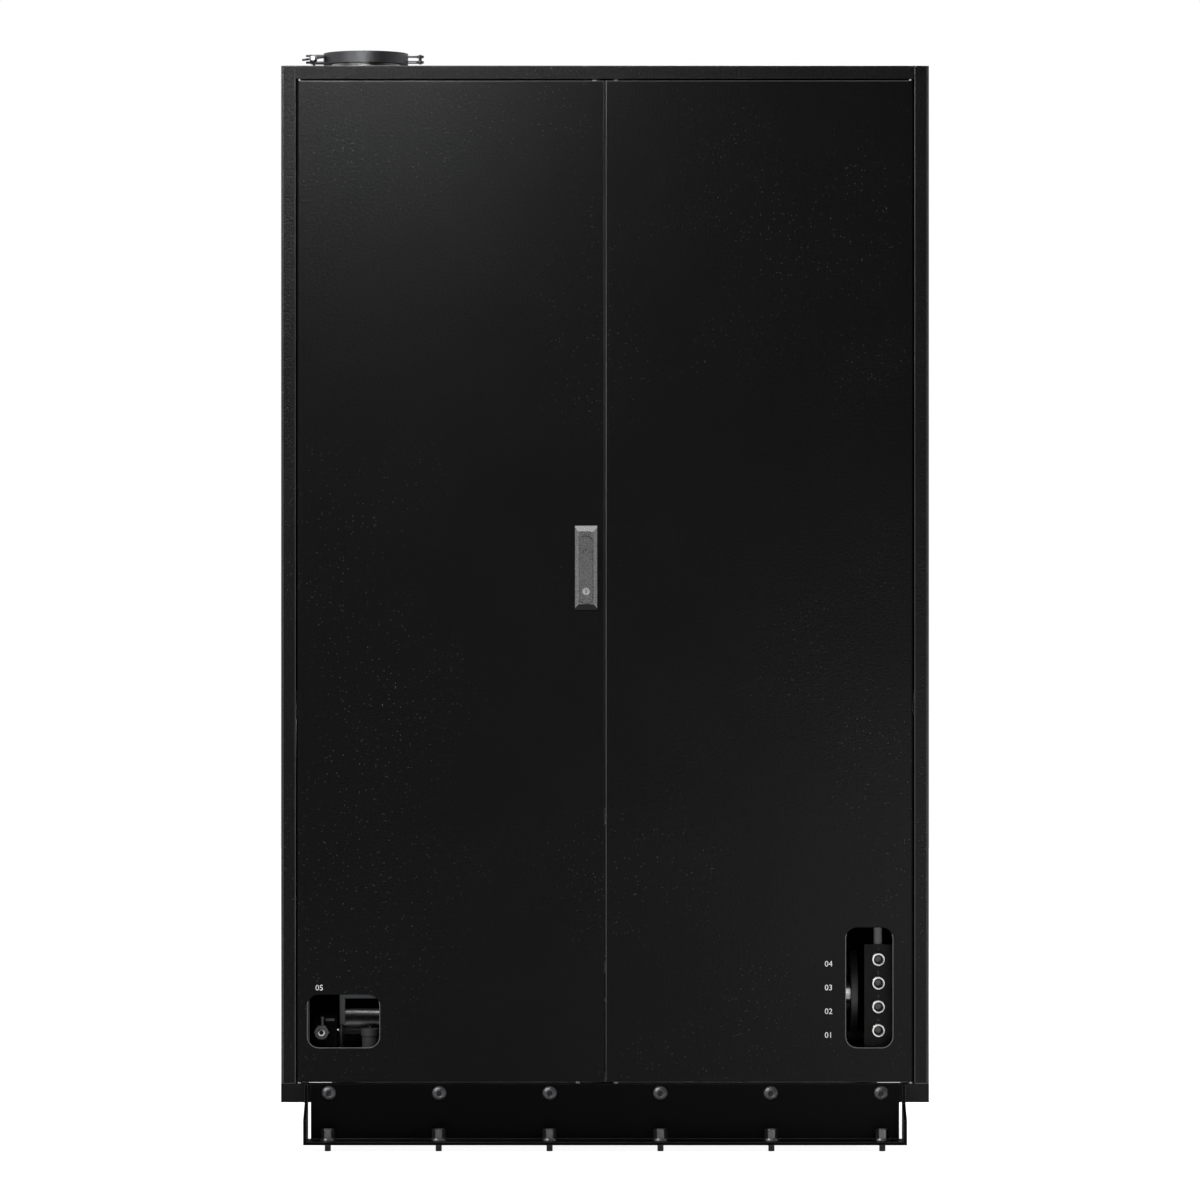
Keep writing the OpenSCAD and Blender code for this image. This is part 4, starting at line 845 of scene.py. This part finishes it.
def pump_set(side, x):
    """One pump with its motor: a ribbed casing with bolted nozzles, a finned motor body, a fan cover and a
    box with its gland."""
    y, line = -0.230, 0.283
    casing = mm((40, 123), (99, 123), (100, 124), (100, 134), (99, 135), (72, 137), (66, 146), (66, 166),
                (72, 176), (84, 186), (85, 200), (85, 240), (81, 246), (81, 326), (85, 332), (85, 372),
                (84, 388), (96, 390), (97, 391), (97, 404), (96, 404.7), (40, 404.7))
    grids = [turned(casing, (x, y, 0.0), "z", 64)]
    for way in (-1, 1):
        rows = [(44, 60), (44.5, 104), (47, 112), (66, 116), (75, 117.5), (75.5, 118.5), (75.5, 129),
                (75, 130), (40, 130)]
        rows = [(r * MM, way * h * MM) for r, h in rows]
        grids.append(turned(rows, (x, y, line), "y", 48))
    grids += bolt_heads((x, y + 0.1165, line), "-y", 0.061, 8, 0.0085, 0.0075)
    grids += bolt_heads((x, y - 0.1165, line), "y", 0.061, 8, 0.0085, 0.0075)
    grids += bolt_heads((x, y, 0.135), "z", 0.088, 8, 0.0085, 0.007)
    made("pump_casing_" + side, grids, "pump_" + side, crease=38.0, stands=True)

    count = 240
    fins = lambda r, h, a: r - (np.where((h > 0.440) & (h < 0.628), 0.011, 0.0)
                                * (0.5 - 0.5 * np.tanh(3.0 * (np.cos(40 * a) + 0.35))))
    body = mm((40, 405), (91, 405), (92, 406), (92, 418), (91, 419), (84, 421), (84, 439), (84, 441),
              (84, 627), (84, 629), (84, 640), (60, 640))
    cover = mm((60, 640.5), (86, 640.5), (87, 642), (87, 690), (85, 700), (79, 706.5), (70, 709), (64, 709.5),
               (63, 707), (56, 707), (55, 709.5), (47, 709.8), (46, 707.2), (39, 707.2), (38, 710), (30, 710),
               (29, 707.4), (22, 707.4), (21, 710), (6, 710))
    grids = [turned(body, (x, y, 0.0), "z", count, fins), turned(cover, (x, y, 0.0), "z", 48)]
    grids += [block((x - 0.040, y - 0.110, 0.505), (x + 0.040, y - 0.066, 0.595), 0.004),
              block((x - 0.036, y - 0.1095, 0.5085), (x + 0.036, y - 0.1065, 0.5915), 0.001)]
    grids += bolt_heads((x, y, 0.419), "z", 0.0865, 4, 0.0045, 0.006)
    made("motor_body_" + side, grids, "motor_" + side, crease=38.0, stands=True)
    gland = [turned(mm((5, 0), (11, 0), (11, 9), (9.6, 10), (9.6, 15), (6, 17), (5, 17)),
                    (x + 0.039, y - 0.088, 0.55), "x", 24, hexed((0, 0, 1, 1, 0, 0, 0)))]
    made("motor_gland_" + side, gland, "sensor_grey", "black_and_painted_shade")


def exchanger():
    """The plate pack, finely ribbed because every other plate stands proud, and its tie rods with their
    nuts."""
    low, high = corners("exchanger_pack")
    rows = np.linspace(low[1] + 0.0004, high[1] - 0.0004, 177)
    outline = round_outline(low[0], low[2], high[0] - low[0], high[2] - low[2], 0.030, 6)
    middle = (low[[0, 2]] + high[[0, 2]]) / 2
    half = (high - low)[[0, 2]] / 2
    inset = np.where(np.arange(rows.size) % 2, 0.0030, 0.0)[:, None, None]
    ring = middle + (outline - middle)[None] * (1 - inset / half)
    grid = np.stack([ring[..., 0], np.broadcast_to(rows[:, None], ring.shape[:2]), ring[..., 1]], -1)
    made("plate_stack", [(closed_ends(grid), False, True)], "exchanger_pack", crease=20.0, stands=True)
    low, high = corners("exchanger_frame")
    nuts, rods = [], []
    for x in (low[0] + 0.014, high[0] - 0.014):
        for z in (low[2] + 0.09, low[2] + 0.27, low[2] + 0.54, low[2] + 0.81, high[2] - 0.09):
            for y, axis in ((low[1] + 0.0005, "-y"), (high[1] - 0.0005, "y")):
                nuts.append(turned([(0.018, 0.0), (0.018, 0.012), (0.0155, 0.014)], (x, y, z), axis, 12,
                                   hexed((1, 1, 0))))
                nuts.append(turned([(0.0095, 0.0), (0.0095, 0.022), (0.008, 0.024)], (x, y, z), axis, 16))
            rods.append(turned([(0.0095, low[1]), (0.0095, high[1])], (x, 0.0, z), "y", 16))
    made("tie_rods", nuts + rods, "zinc_steel")


def control_valve():
    """The control valve's body and stem, the studs through its flanges, and the actuator's case and dial."""
    y, z = 0.150, 0.800
    body = mm((60, -60), (94, -60), (95, -59), (95, -43), (94, -42), (76, -40), (72, -30), (72, 30), (76, 40),
              (94, 42), (95, 43), (95, 59), (94, 60), (60, 60))
    grids = [turned(body, (PIPE_X, y, z), "z", 64)]
    stem = mm((12, 60), (28, 66), (26, 74), (19, 82), (19, 124), (24, 127), (34, 128), (34, 134.7),
              (20, 134.7))
    grids += [turned(stem, (PIPE_X, y, z), "-y", 40)]
    made("valve_body", grids, "control_valve", crease=38.0, stands=True)
    studs = bolt_heads((PIPE_X, y, z + 0.060), "z", 0.083, 8, 0.0085, 0.008)
    for k in range(8):
        a = 2 * math.pi * (k + 0.5) / 8
        studs.append(turned([(0.005, -0.0425), (0.005, 0.0425)],
                            (PIPE_X + 0.083 * math.cos(a), y + 0.083 * math.sin(a), z), "z", 12))
    made("valve_studs", studs, "zinc_steel")
    x0, x1, y0, y1, z0, z1 = PIPE_X - 0.060, PIPE_X + 0.060, -0.075, 0.0149, 0.755, 0.875
    case = [block((x0, y0, z0), (x1, y1, z0 + 0.074), 0.007),
            block((x0 + 0.003, y0 + 0.003, z0 + 0.0745), (x1 - 0.003, y1 - 0.003, z1), 0.012)]
    made("actuator_case", case, "valve_actuator", stands=True)
    dial = [turned(mm((14, -0.5), (15.5, -0.5), (15.5, 1.2), (14, 1.8)), (PIPE_X, -0.075, 0.795), "-y", 32)]
    made("actuator_dial", dial, "sensor_grey", "black_and_painted_shade")


def enclosure():
    """The electrical enclosure's door, hinges, catches, hoods, pilot lamps and the scale of its isolator."""
    low, high = corners("electrical_enclosure")
    y = low[1]
    panel = [block((low[0] + 0.012, y - 0.0006, low[2] + 0.012),
                   (high[0] - 0.012, y + 0.001, high[2] - 0.012), 0.0006)]
    made("enclosure_door", panel, "enclosure_grey")
    hinges = [turned(mm((3, 0), (6.5, 0), (7, 0.6), (7, 59.4), (6.5, 60), (3, 60)),
                     (low[0] + 0.012, y - 0.003, z), "z", 20)
              for z in (low[2] + 0.09, low[2] + 0.395, high[2] - 0.15)]
    catch = [turned(mm((8, 0), (13, 0), (13.5, 0.6), (13.5, 3.2), (12.6, 4), (5, 4), (4.6, 2.2), (1, 2.2)),
                    (high[0] - 0.030, y - 0.0006, z), "-y", 36, hexed((0, 0, 0, 0, 0, 1, 1, 0)))
             for z in (low[2] + 0.10, high[2] - 0.26)]
    made("enclosure_hinges", hinges + catch, "zinc_steel")
    slats = []
    for z in np.arange(low[2] + 0.09, low[2] + 0.30, 0.021):
        t = np.linspace(0.0, math.pi, 7)
        hood = np.stack([-0.0050 * np.sin(t), 0.007 - 0.007 * np.cos(t)], -1)
        slats.append(carried([(low[0] + 0.10, y, z), (high[0] - 0.10, y, z)], hood))
    made("enclosure_louvres", slats, "enclosure_grey", crease=50.0)
    plate = [turned(mm((28, 0), (40, 0), (40, 1.0), (28, 1.0)), (high[0] - 0.080, y - 0.0002, high[2] - 0.09),
                    "-y", 48)]
    made("isolator_plate", plate, "sensor_grey", "black_and_painted_shade")
    number("0", (high[0] - 0.080 - 0.0335, y - 0.0014, high[2] - 0.090), 0.008, CABINET)
    number("1", (high[0] - 0.080, y - 0.0014, high[2] - 0.0565), 0.008, CABINET)
    for k, x in enumerate((low[0] + 0.16, low[0] + 0.24, low[0] + 0.32)):
        lamp = [turned(mm((4, 0), (10, 0), (10.5, 0.5), (10.5, 3), (9.4, 4), (8, 4.2), (7.6, 6.6), (5, 8.6),
                          (1, 9.2)), (x, y - 0.0006, high[2] - 0.12), "-y", 32)]
        made("pilot_lamp_%d" % (k + 1), lamp, "port_nickel" if k else "sensor_grey",
             ("nylon_white", "knob_red", "actuator_blue")[k])


def door_inside(side):
    """What a door carries behind its sheet: three hat-section stiffeners and a foam gasket."""
    hat = mm((-34, 0), (-34, 1.5), (-17, 1.5), (-14, 14), (14, 14), (17, 1.5), (34, 1.5), (34, 0))
    hats = []
    x0, x1 = {"left": (-0.552, -0.075), "right": (0.040, 0.552)}[side]
    for z in (0.62, 1.05, 1.60):
        hats.append(carried([(x0, -0.598, z), (x1, -0.598, z)], hat, False, (0.0, 1.0, 0.0)))
    made("door_stiffeners_" + side, hats, "door_" + side, crease=30.0)
    inner = 0.062 if side == "left" else 0.030
    low, high = corners("door_" + side)
    x0, x1 = (low[0] + 0.018, high[0] - inner) if side == "left" else (low[0] + inner, high[0] - 0.018)
    outline = round_outline(x0, low[2] + 0.018, x1 - x0, high[2] - low[2] - 0.036, 0.012, 5)
    path = np.stack([outline[:, 0], np.full(len(outline), -0.598), outline[:, 1]], -1)
    foam = mm((-5, 0), (-5, 4.5), (-3.5, 6.5), (0, 7.2), (3.5, 6.5), (5, 4.5), (5, 0))
    made("door_gasket_" + side, [carried(path, foam, True, (0.0, 1.0, 0.0))], "door_" + side, "gasket_black")


def centre_seal():
    """A post behind the doors' gap: a shallow channel with a dark face, and white pads on it at the heights
    where light shows through the gap, painted light."""
    channel = mm((-11, 0), (-11, -6), (-9.5, -7.5), (9.5, -7.5), (11, -6), (11, 0), (9, 0), (9, -5.5),
                 (-9, -5.5), (-9, 0))
    made("centre_seal", [carried([(0.0, -0.5665, SILL_Z + 0.0205), (0.0, -0.5665, HEAD_Z - 0.0005)], channel,
                                 False, (0.0, 1.0, 0.0))], "corner_posts", "gasket_black", crease=30.0)
    # painted light: white pads where light would show through the gap between the doors
    pads = [block((-0.006, -0.5747, (z0 + 1.5) * MM), (0.006, -0.5735, (z1 - 1.5) * MM), 0.0004)
            for z0, z1 in ((598, 631), (352, 358), (322, 348), (270, 279))]
    made("painted_gap_light", pads, "port_nickel", "nylon_white")


def fittings():
    """The service ports and their numbers, the relief valve's nose, the sensor's cap and the lock's face."""
    rows = mm((6.45, -46), (6.45, -1), (8.0, 0.6), (8.0, 15.4), (8.7, 16.7), (9.6, 17), (11.2, 17),
              (12.1, 16.3), (12.4, 15.2), (12.4, 10.6), (11.4, 9.8), (11.4, 6.6), (12.4, 5.8), (12.4, 0.2),
              (11.0, 0.0), (11.0, -46))
    ports = [ring_of(rows, (PORT_X, PORT_Y, z), "-y", 48) for z in PORT_ZS]
    made("port_sockets", ports, "service_ports", crease=30.0, stands=True)
    seals = [ring_of(mm((5.4, -1.4), (7.95, -1.4), (7.95, -0.4), (5.4, -0.4)) + (0.0, 0.0026),
                     (PORT_X, PORT_Y, z), "-y", 32) for z in PORT_ZS]
    made("port_seals", seals, "service_ports", "gasket_black")
    for k, z in enumerate(PORT_ZS):
        number("%02d" % (k + 1), (0.414, FRONT_Y - 0.0001, z - 0.0065), 0.0105, BODY_OF["door_right"])
        number(str(4 - k), (PORT_X, PORT_Y - 0.0002, z + 0.0185), 0.0062, CABINET, finish="strip_grey")
    number("05", (-0.529, FRONT_Y - 0.0001, 0.2977), 0.0105, BODY_OF["door_left"])
    valve = (RELIEF_X, RELIEF_Y, RELIEF_Z)
    nose = mm((4.0, 0.2), (4.0, 16.0), (4.6, 16.0), (6.3, 15.6), (6.5, 15.0), (6.5, 11.0), (9.0, 10.6),
              (9.6, 9.8), (9.6, 9.0), (6.5, 8.6), (6.5, 0.2))
    made("relief_nose", [ring_of(nose, valve, "-y", 40)], "port_nickel")
    hexagon_nut = mm((6.6, 0.3), (6.6, 11.4), (12.6, 11.4), (15.1, 10.2), (15.1, 0.3))
    made("relief_nut", [ring_of(hexagon_nut, valve, "-y", 48, hexed((0, 0, 0, 1, 1)))], "zinc_steel",
         "screw_grey", crease=25.0)
    # painted shade: a dark disc deep in the nose's bore
    made("relief_bore", [turned(mm((2.0, 8.0), (4.1, 8.0), (4.1, 7.0), (2.0, 7.0)), valve, "-y", 24)],
         "zinc_steel", "black_and_painted_shade")
    dot = mm((0.4, 3.2), (1.5, 2.9), (2.5, 2.0), (3.0, 0.8), (3.0, 0.0))[::-1]
    made("bright_stud", [turned(dot, (-0.4955, -0.5562, 0.2170), "-y", 24)], "port_nickel")
    # the cap in a dark grey: painted shade of the cabinet's dim inside
    cap = mm((10, 0), (16.4, 0), (16.5, 0.6), (16.5, 12.4), (15.6, 13.8), (13.0, 14.2), (6, 14.3),
             (2.6, 14.4), (2.5, 17.2), (1.9, 18.0))
    made("sensor_cap", [turned(cap, (-0.437, -0.545, 0.2052), "z", 40)], "sensor_grey", "cap_grey")
    face = mm((1.0, 5.0), (4.6, 5.0), (4.9, 5.6), (6.2, 5.6), (6.7, 5.1), (6.7, 0.0))[::-1]
    made("lock_face", [turned(face, (HANDLE_X, -0.6123, LOCK_Z), "-y", 40)], "lock_cylinder", stands=True)
    # painted shade: a dark block where the keyway lies
    made("lock_key_slot", [block((HANDLE_X - 0.0006, -0.61755, LOCK_Z - 0.0032),
                                 (HANDLE_X + 0.0006, -0.6170, LOCK_Z + 0.0032), 0.0001)], "lock_cylinder",
         "black_and_painted_shade")


def relief_body():
    """The relief valve's dark block with a slot in its face, and its grey stem with a square boss."""
    low, high = corners("relief_valve")
    base = made("relief_block", [block((-0.544, RELIEF_Y, low[2]), (-0.498, high[1], 0.244), 0.0012)],
                "port_plate", "bracket_black")
    stand_for("relief_valve")
    made("relief_slot", [block((-0.519, -0.5564, 0.2335), (-0.503, -0.5558, 0.2385), 0.0002)], "port_plate",
         "cap_grey")
    # the stem in the dim grey: painted shade of the cabinet's dim inside
    stem = mm((1.0, 0.0), (3.9, 0.0), (4.7, 1.0), (4.7, 6.0), (3.8, 6.6), (3.8, 17.0), (4.7, 18.0),
              (4.7, 22.4), (3.8, 23.4), (1.0, 23.4))
    made("relief_stem", [turned(stem, (-0.5255, -0.561, 0.219), "z", 28),
                         block((-0.5295, -0.562, 0.231), (-0.5215, -0.5555, 0.239), 0.0008)], "relief_valve",
         "strip_grey")


def makeup_pieces():
    """The make-up line: a dark pipe bent up to the shelf, and the grey strips and plate that carry it, their
    grey darkened as painted shade of the cabinet's dim inside.
    """
    line = ((-0.489, -0.490, 0.229), (-0.345, -0.490, 0.229), (-0.345, -0.490, 0.803))
    made("makeup_pipe", [swept_tube(bent_path(line, 0.034, 12), 0.024, 40)]
         + [bead(place, axis, 0.024, 0.003) for place, axis in bend_welds(line, 0.034)], "makeup_line",
         "dark_pipe", crease=40.0, stands=True)
    made("makeup_strip", [block((-0.494, -0.546, 0.228), (-0.483, -0.5365, 0.413), 0.0012),
                          block((-0.494, -0.5365, 0.123), (-0.489, -0.466, 0.413), 0.0012),
                          block((-0.494, -0.548, 0.275), (-0.374, -0.542, 0.334), 0.0012)], "makeup_line",
         "strip_grey")


def bezel():
    """The handle's bezel: rectangles that shrink from the door to the face, its sides by 7 mm over 7 mm and
    its ends by 10.5 mm over 10 mm, and a round hole for the spindle, each point of it in line with one of the
    outline."""
    low, high = corners("handle_bezel")
    hub, hole = np.array((HANDLE_X, HUB_Z)), 0.0092
    share = np.linspace(0.0, 1.0, 9)[:-1, None]
    rows = []
    for depth, side, end in ((12.0, 7.0, 10.5), (5.0, 0.0, 3.15), (2.0, 0.0, 0.0), (0.0, 0.0, 0.0)):
        inset = np.array((side, end)) * MM
        a, b = low[[0, 2]] + inset, high[[0, 2]] - inset
        square = np.array([a, (b[0], a[1]), b, (a[0], b[1])])
        ring = np.concatenate([p + (q - p) * share for p, q in zip(square, np.roll(square, -1, 0))])
        rows.append(np.stack([ring[:, 0], np.full(len(ring), high[1] - depth * MM), ring[:, 1]], -1))
    ahead = rows[0][:, [0, 2]] - hub
    circle = hub + hole * ahead / np.linalg.norm(ahead, axis=1, keepdims=True)
    around = [np.stack([circle[:, 0], np.full(len(circle), y), circle[:, 1]], -1)
              for y in (high[1], high[1] - 0.012)]
    piece = made("handle_bezel_shell", [(np.stack(around + rows), True, True)], "handle_bezel", bevel=0.0007,
                 crease=20.0, stands=True)
    # painted shade and highlight: faces turned down take a darker copy of the handle's paint, faces turned up
    # a lighter one
    paint_faces(piece, "normal", lambda facing: np.where(facing[:, 2] < -0.5, 1,
                                                         np.where(facing[:, 2] > 0.5, 2, 0)), "handle_painted_shade",
                "handle_painted_highlight")


def handle_shadow_arcs():
    """Fine dark lines where the lever's round ends meet its seat: painted shadow of a groove there."""
    t = np.linspace(math.radians(28), math.radians(152), 15)
    arcs = []
    for z, way in ((HUB_Z, 1.0), (LOCK_Z - 0.01105, -1.0)):
        path = np.stack([HANDLE_X + 0.0121 * np.cos(t), np.full(t.size, -0.6121),
                         z + way * 0.0121 * np.sin(t)], -1)
        arcs.append(carried(path, mm((-0.65, -0.1), (0.65, -0.1), (0.65, 0.2), (-0.65, 0.2)), False,
                            (0.0, -1.0, 0.0)))
    made("handle_seat_shadow_lines", arcs, "handle_bezel", "black_and_painted_shade")


def screws_and_catches():
    """The brackets' screws, and the quarter-turn catches of the side and rear panels."""
    for name, side, axis in (("front_bracket_screws", -1, "-y"), ("rear_bracket_screws", 1, "y")):
        places = [(x * MM, side * 0.606, 0.103) for x in BOLT_XS]
        socket_screws(name, "bracket_bolts", places, axis, 0.0140, 0.0079, 0.006, 0.036, 0.0056, "screw_grey",
                      stands=side < 0)
        # painted shade: dark hexagonal floors in the screws' sockets
        floors = [turned(mm((2.0, 2.6), (5.5, 2.6), (5.5, 3.6), (2.0, 3.5)), place, axis, 24,
                         hexed((1, 1, 1, 1))) for place in places]
        made(name + "_sockets", floors, "bracket_bolts", "black_and_painted_shade")
    catch = mm((0.8, -0.9), (4.2, -0.9), (4.6, -0.1), (8.6, -0.1), (9.2, -0.6), (9.2, -2.6))[::-1]
    rear = [turned(catch, (x * MM, 0.6000, z * MM), "y", 32) for x in (-552, -22, 22, 552)
            for z in (180, 640, 1100, 1560, 1920)]
    made("rear_catches", rear, "zinc_steel")
    for name, x, axis in (("left_catches", -0.6000, "-x"), ("right_catches", 0.6000, "x")):
        heads = [turned(catch, (x, y * MM, z * MM), axis, 32) for y in (-540, 0, 540)
                 for z in (200, 1060, 1920)]
        made(name, heads, "zinc_steel")


def louvres():
    """Rows of half-round hoods pressed in the rear panels."""
    t = np.linspace(0.0, math.pi, 7)
    hood = np.stack([0.0019 * np.sin(t), 0.007 - 0.007 * np.cos(t)], -1)
    slats = []
    for x0 in (-0.470, 0.130):
        for z in np.arange(1.62, 1.86, 0.026):
            slats.append(carried([(x0, 0.598, z), (x0 + 0.34, 0.598, z)], hood))
    made("rear_louvres", slats, "rear_panels", crease=50.0)


bpy.context.scene.view_settings.view_transform = "Standard"
add_camera()
add_world()
add_lamp("key", (-4.6, -5.2, 5.0), (0.0, -0.6, 1.2), 2.4, 2.4, 330.0)
add_lamp("fill", (5.5, -4.5, 2.2), (0.0, -0.6, 1.0), 1.6, 2.6, 150.0, glossy=False)
add_lamp("glow", (-0.72, -2.6, 2.40), (-0.6, -0.6, 2.05), 0.70, 0.25, 22.0)
add_lamp("low", (0.85, -2.6, 0.25), (0.70, -0.6, 0.35), 0.9, 1.2, 6.0)
add_lamp("bay", (-0.40, -0.46, 0.79), (-0.42, -0.49, 0.25), 0.28, 0.10, 0.6)
add_lamp("back", (1.5, 4.5, 5.0), (0.0, 0.0, 1.2), 3.0, 2.0, 260.0)
add_floor()
make_finishes()


window_lip("left", *LEFT_WINDOW)
window_lip("right", *RIGHT_WINDOW)
anchors()
screws_and_catches()
pipes()
tank()
for side, x in (("left", -0.25), ("right", 0.25)):
    pump_set(side, x)
    door_inside(side)
exchanger()
control_valve()
enclosure()
centre_seal()
fittings()
relief_body()
makeup_pieces()
bezel()
handle_shadow_arcs()
louvres()

# the level sensor's dark grey is painted shade of the cabinet's dim inside
FINISH_OF = {"fill_line": "tube_grey", "suction_header": "header_bright", "level_sensor": "cap_grey"}
FINISH_OF.update({"port_poppet_%d" % (k + 1): "screw_grey" for k in range(len(PORT_ZS))})
BEVELS = {"door_left": 0.0016, "door_right": 0.0016, "corner_posts": 0.0016, "top_frame": 0.0014,
          "base_frame": 0.001, "side_panel_left": 0.0011, "side_panel_right": 0.0011, "roof_panel": 0.001,
          "front_bracket": 0.001, "rear_bracket": 0.001, "handle_lever": 0.0004, "handle_spindle": 0.0002}
# the nodes whose eased edges get the lighter, glossier coat, a painted edge highlight
EDGED = ("door_left", "door_right", "corner_posts", "top_frame", "side_panel_left", "side_panel_right",
         "front_bracket", "rear_bracket", "roof_panel")
for name in frame["nodes"]:
    if name not in REPLACED:
        dressed(name, BEVELS.get(name, 0.0006), FINISH_OF.get(name), "edge_painted_highlight_black" if name in EDGED else None,
                name in ("door_left", "door_right", "top_frame"))

flange_x = corners("suction_header")[1][0] - 0.0125
paint_faces(bpy.data.objects["suction_header_skin"], "center", lambda middle: middle[:, 0] > flange_x,
            "flange_grey")
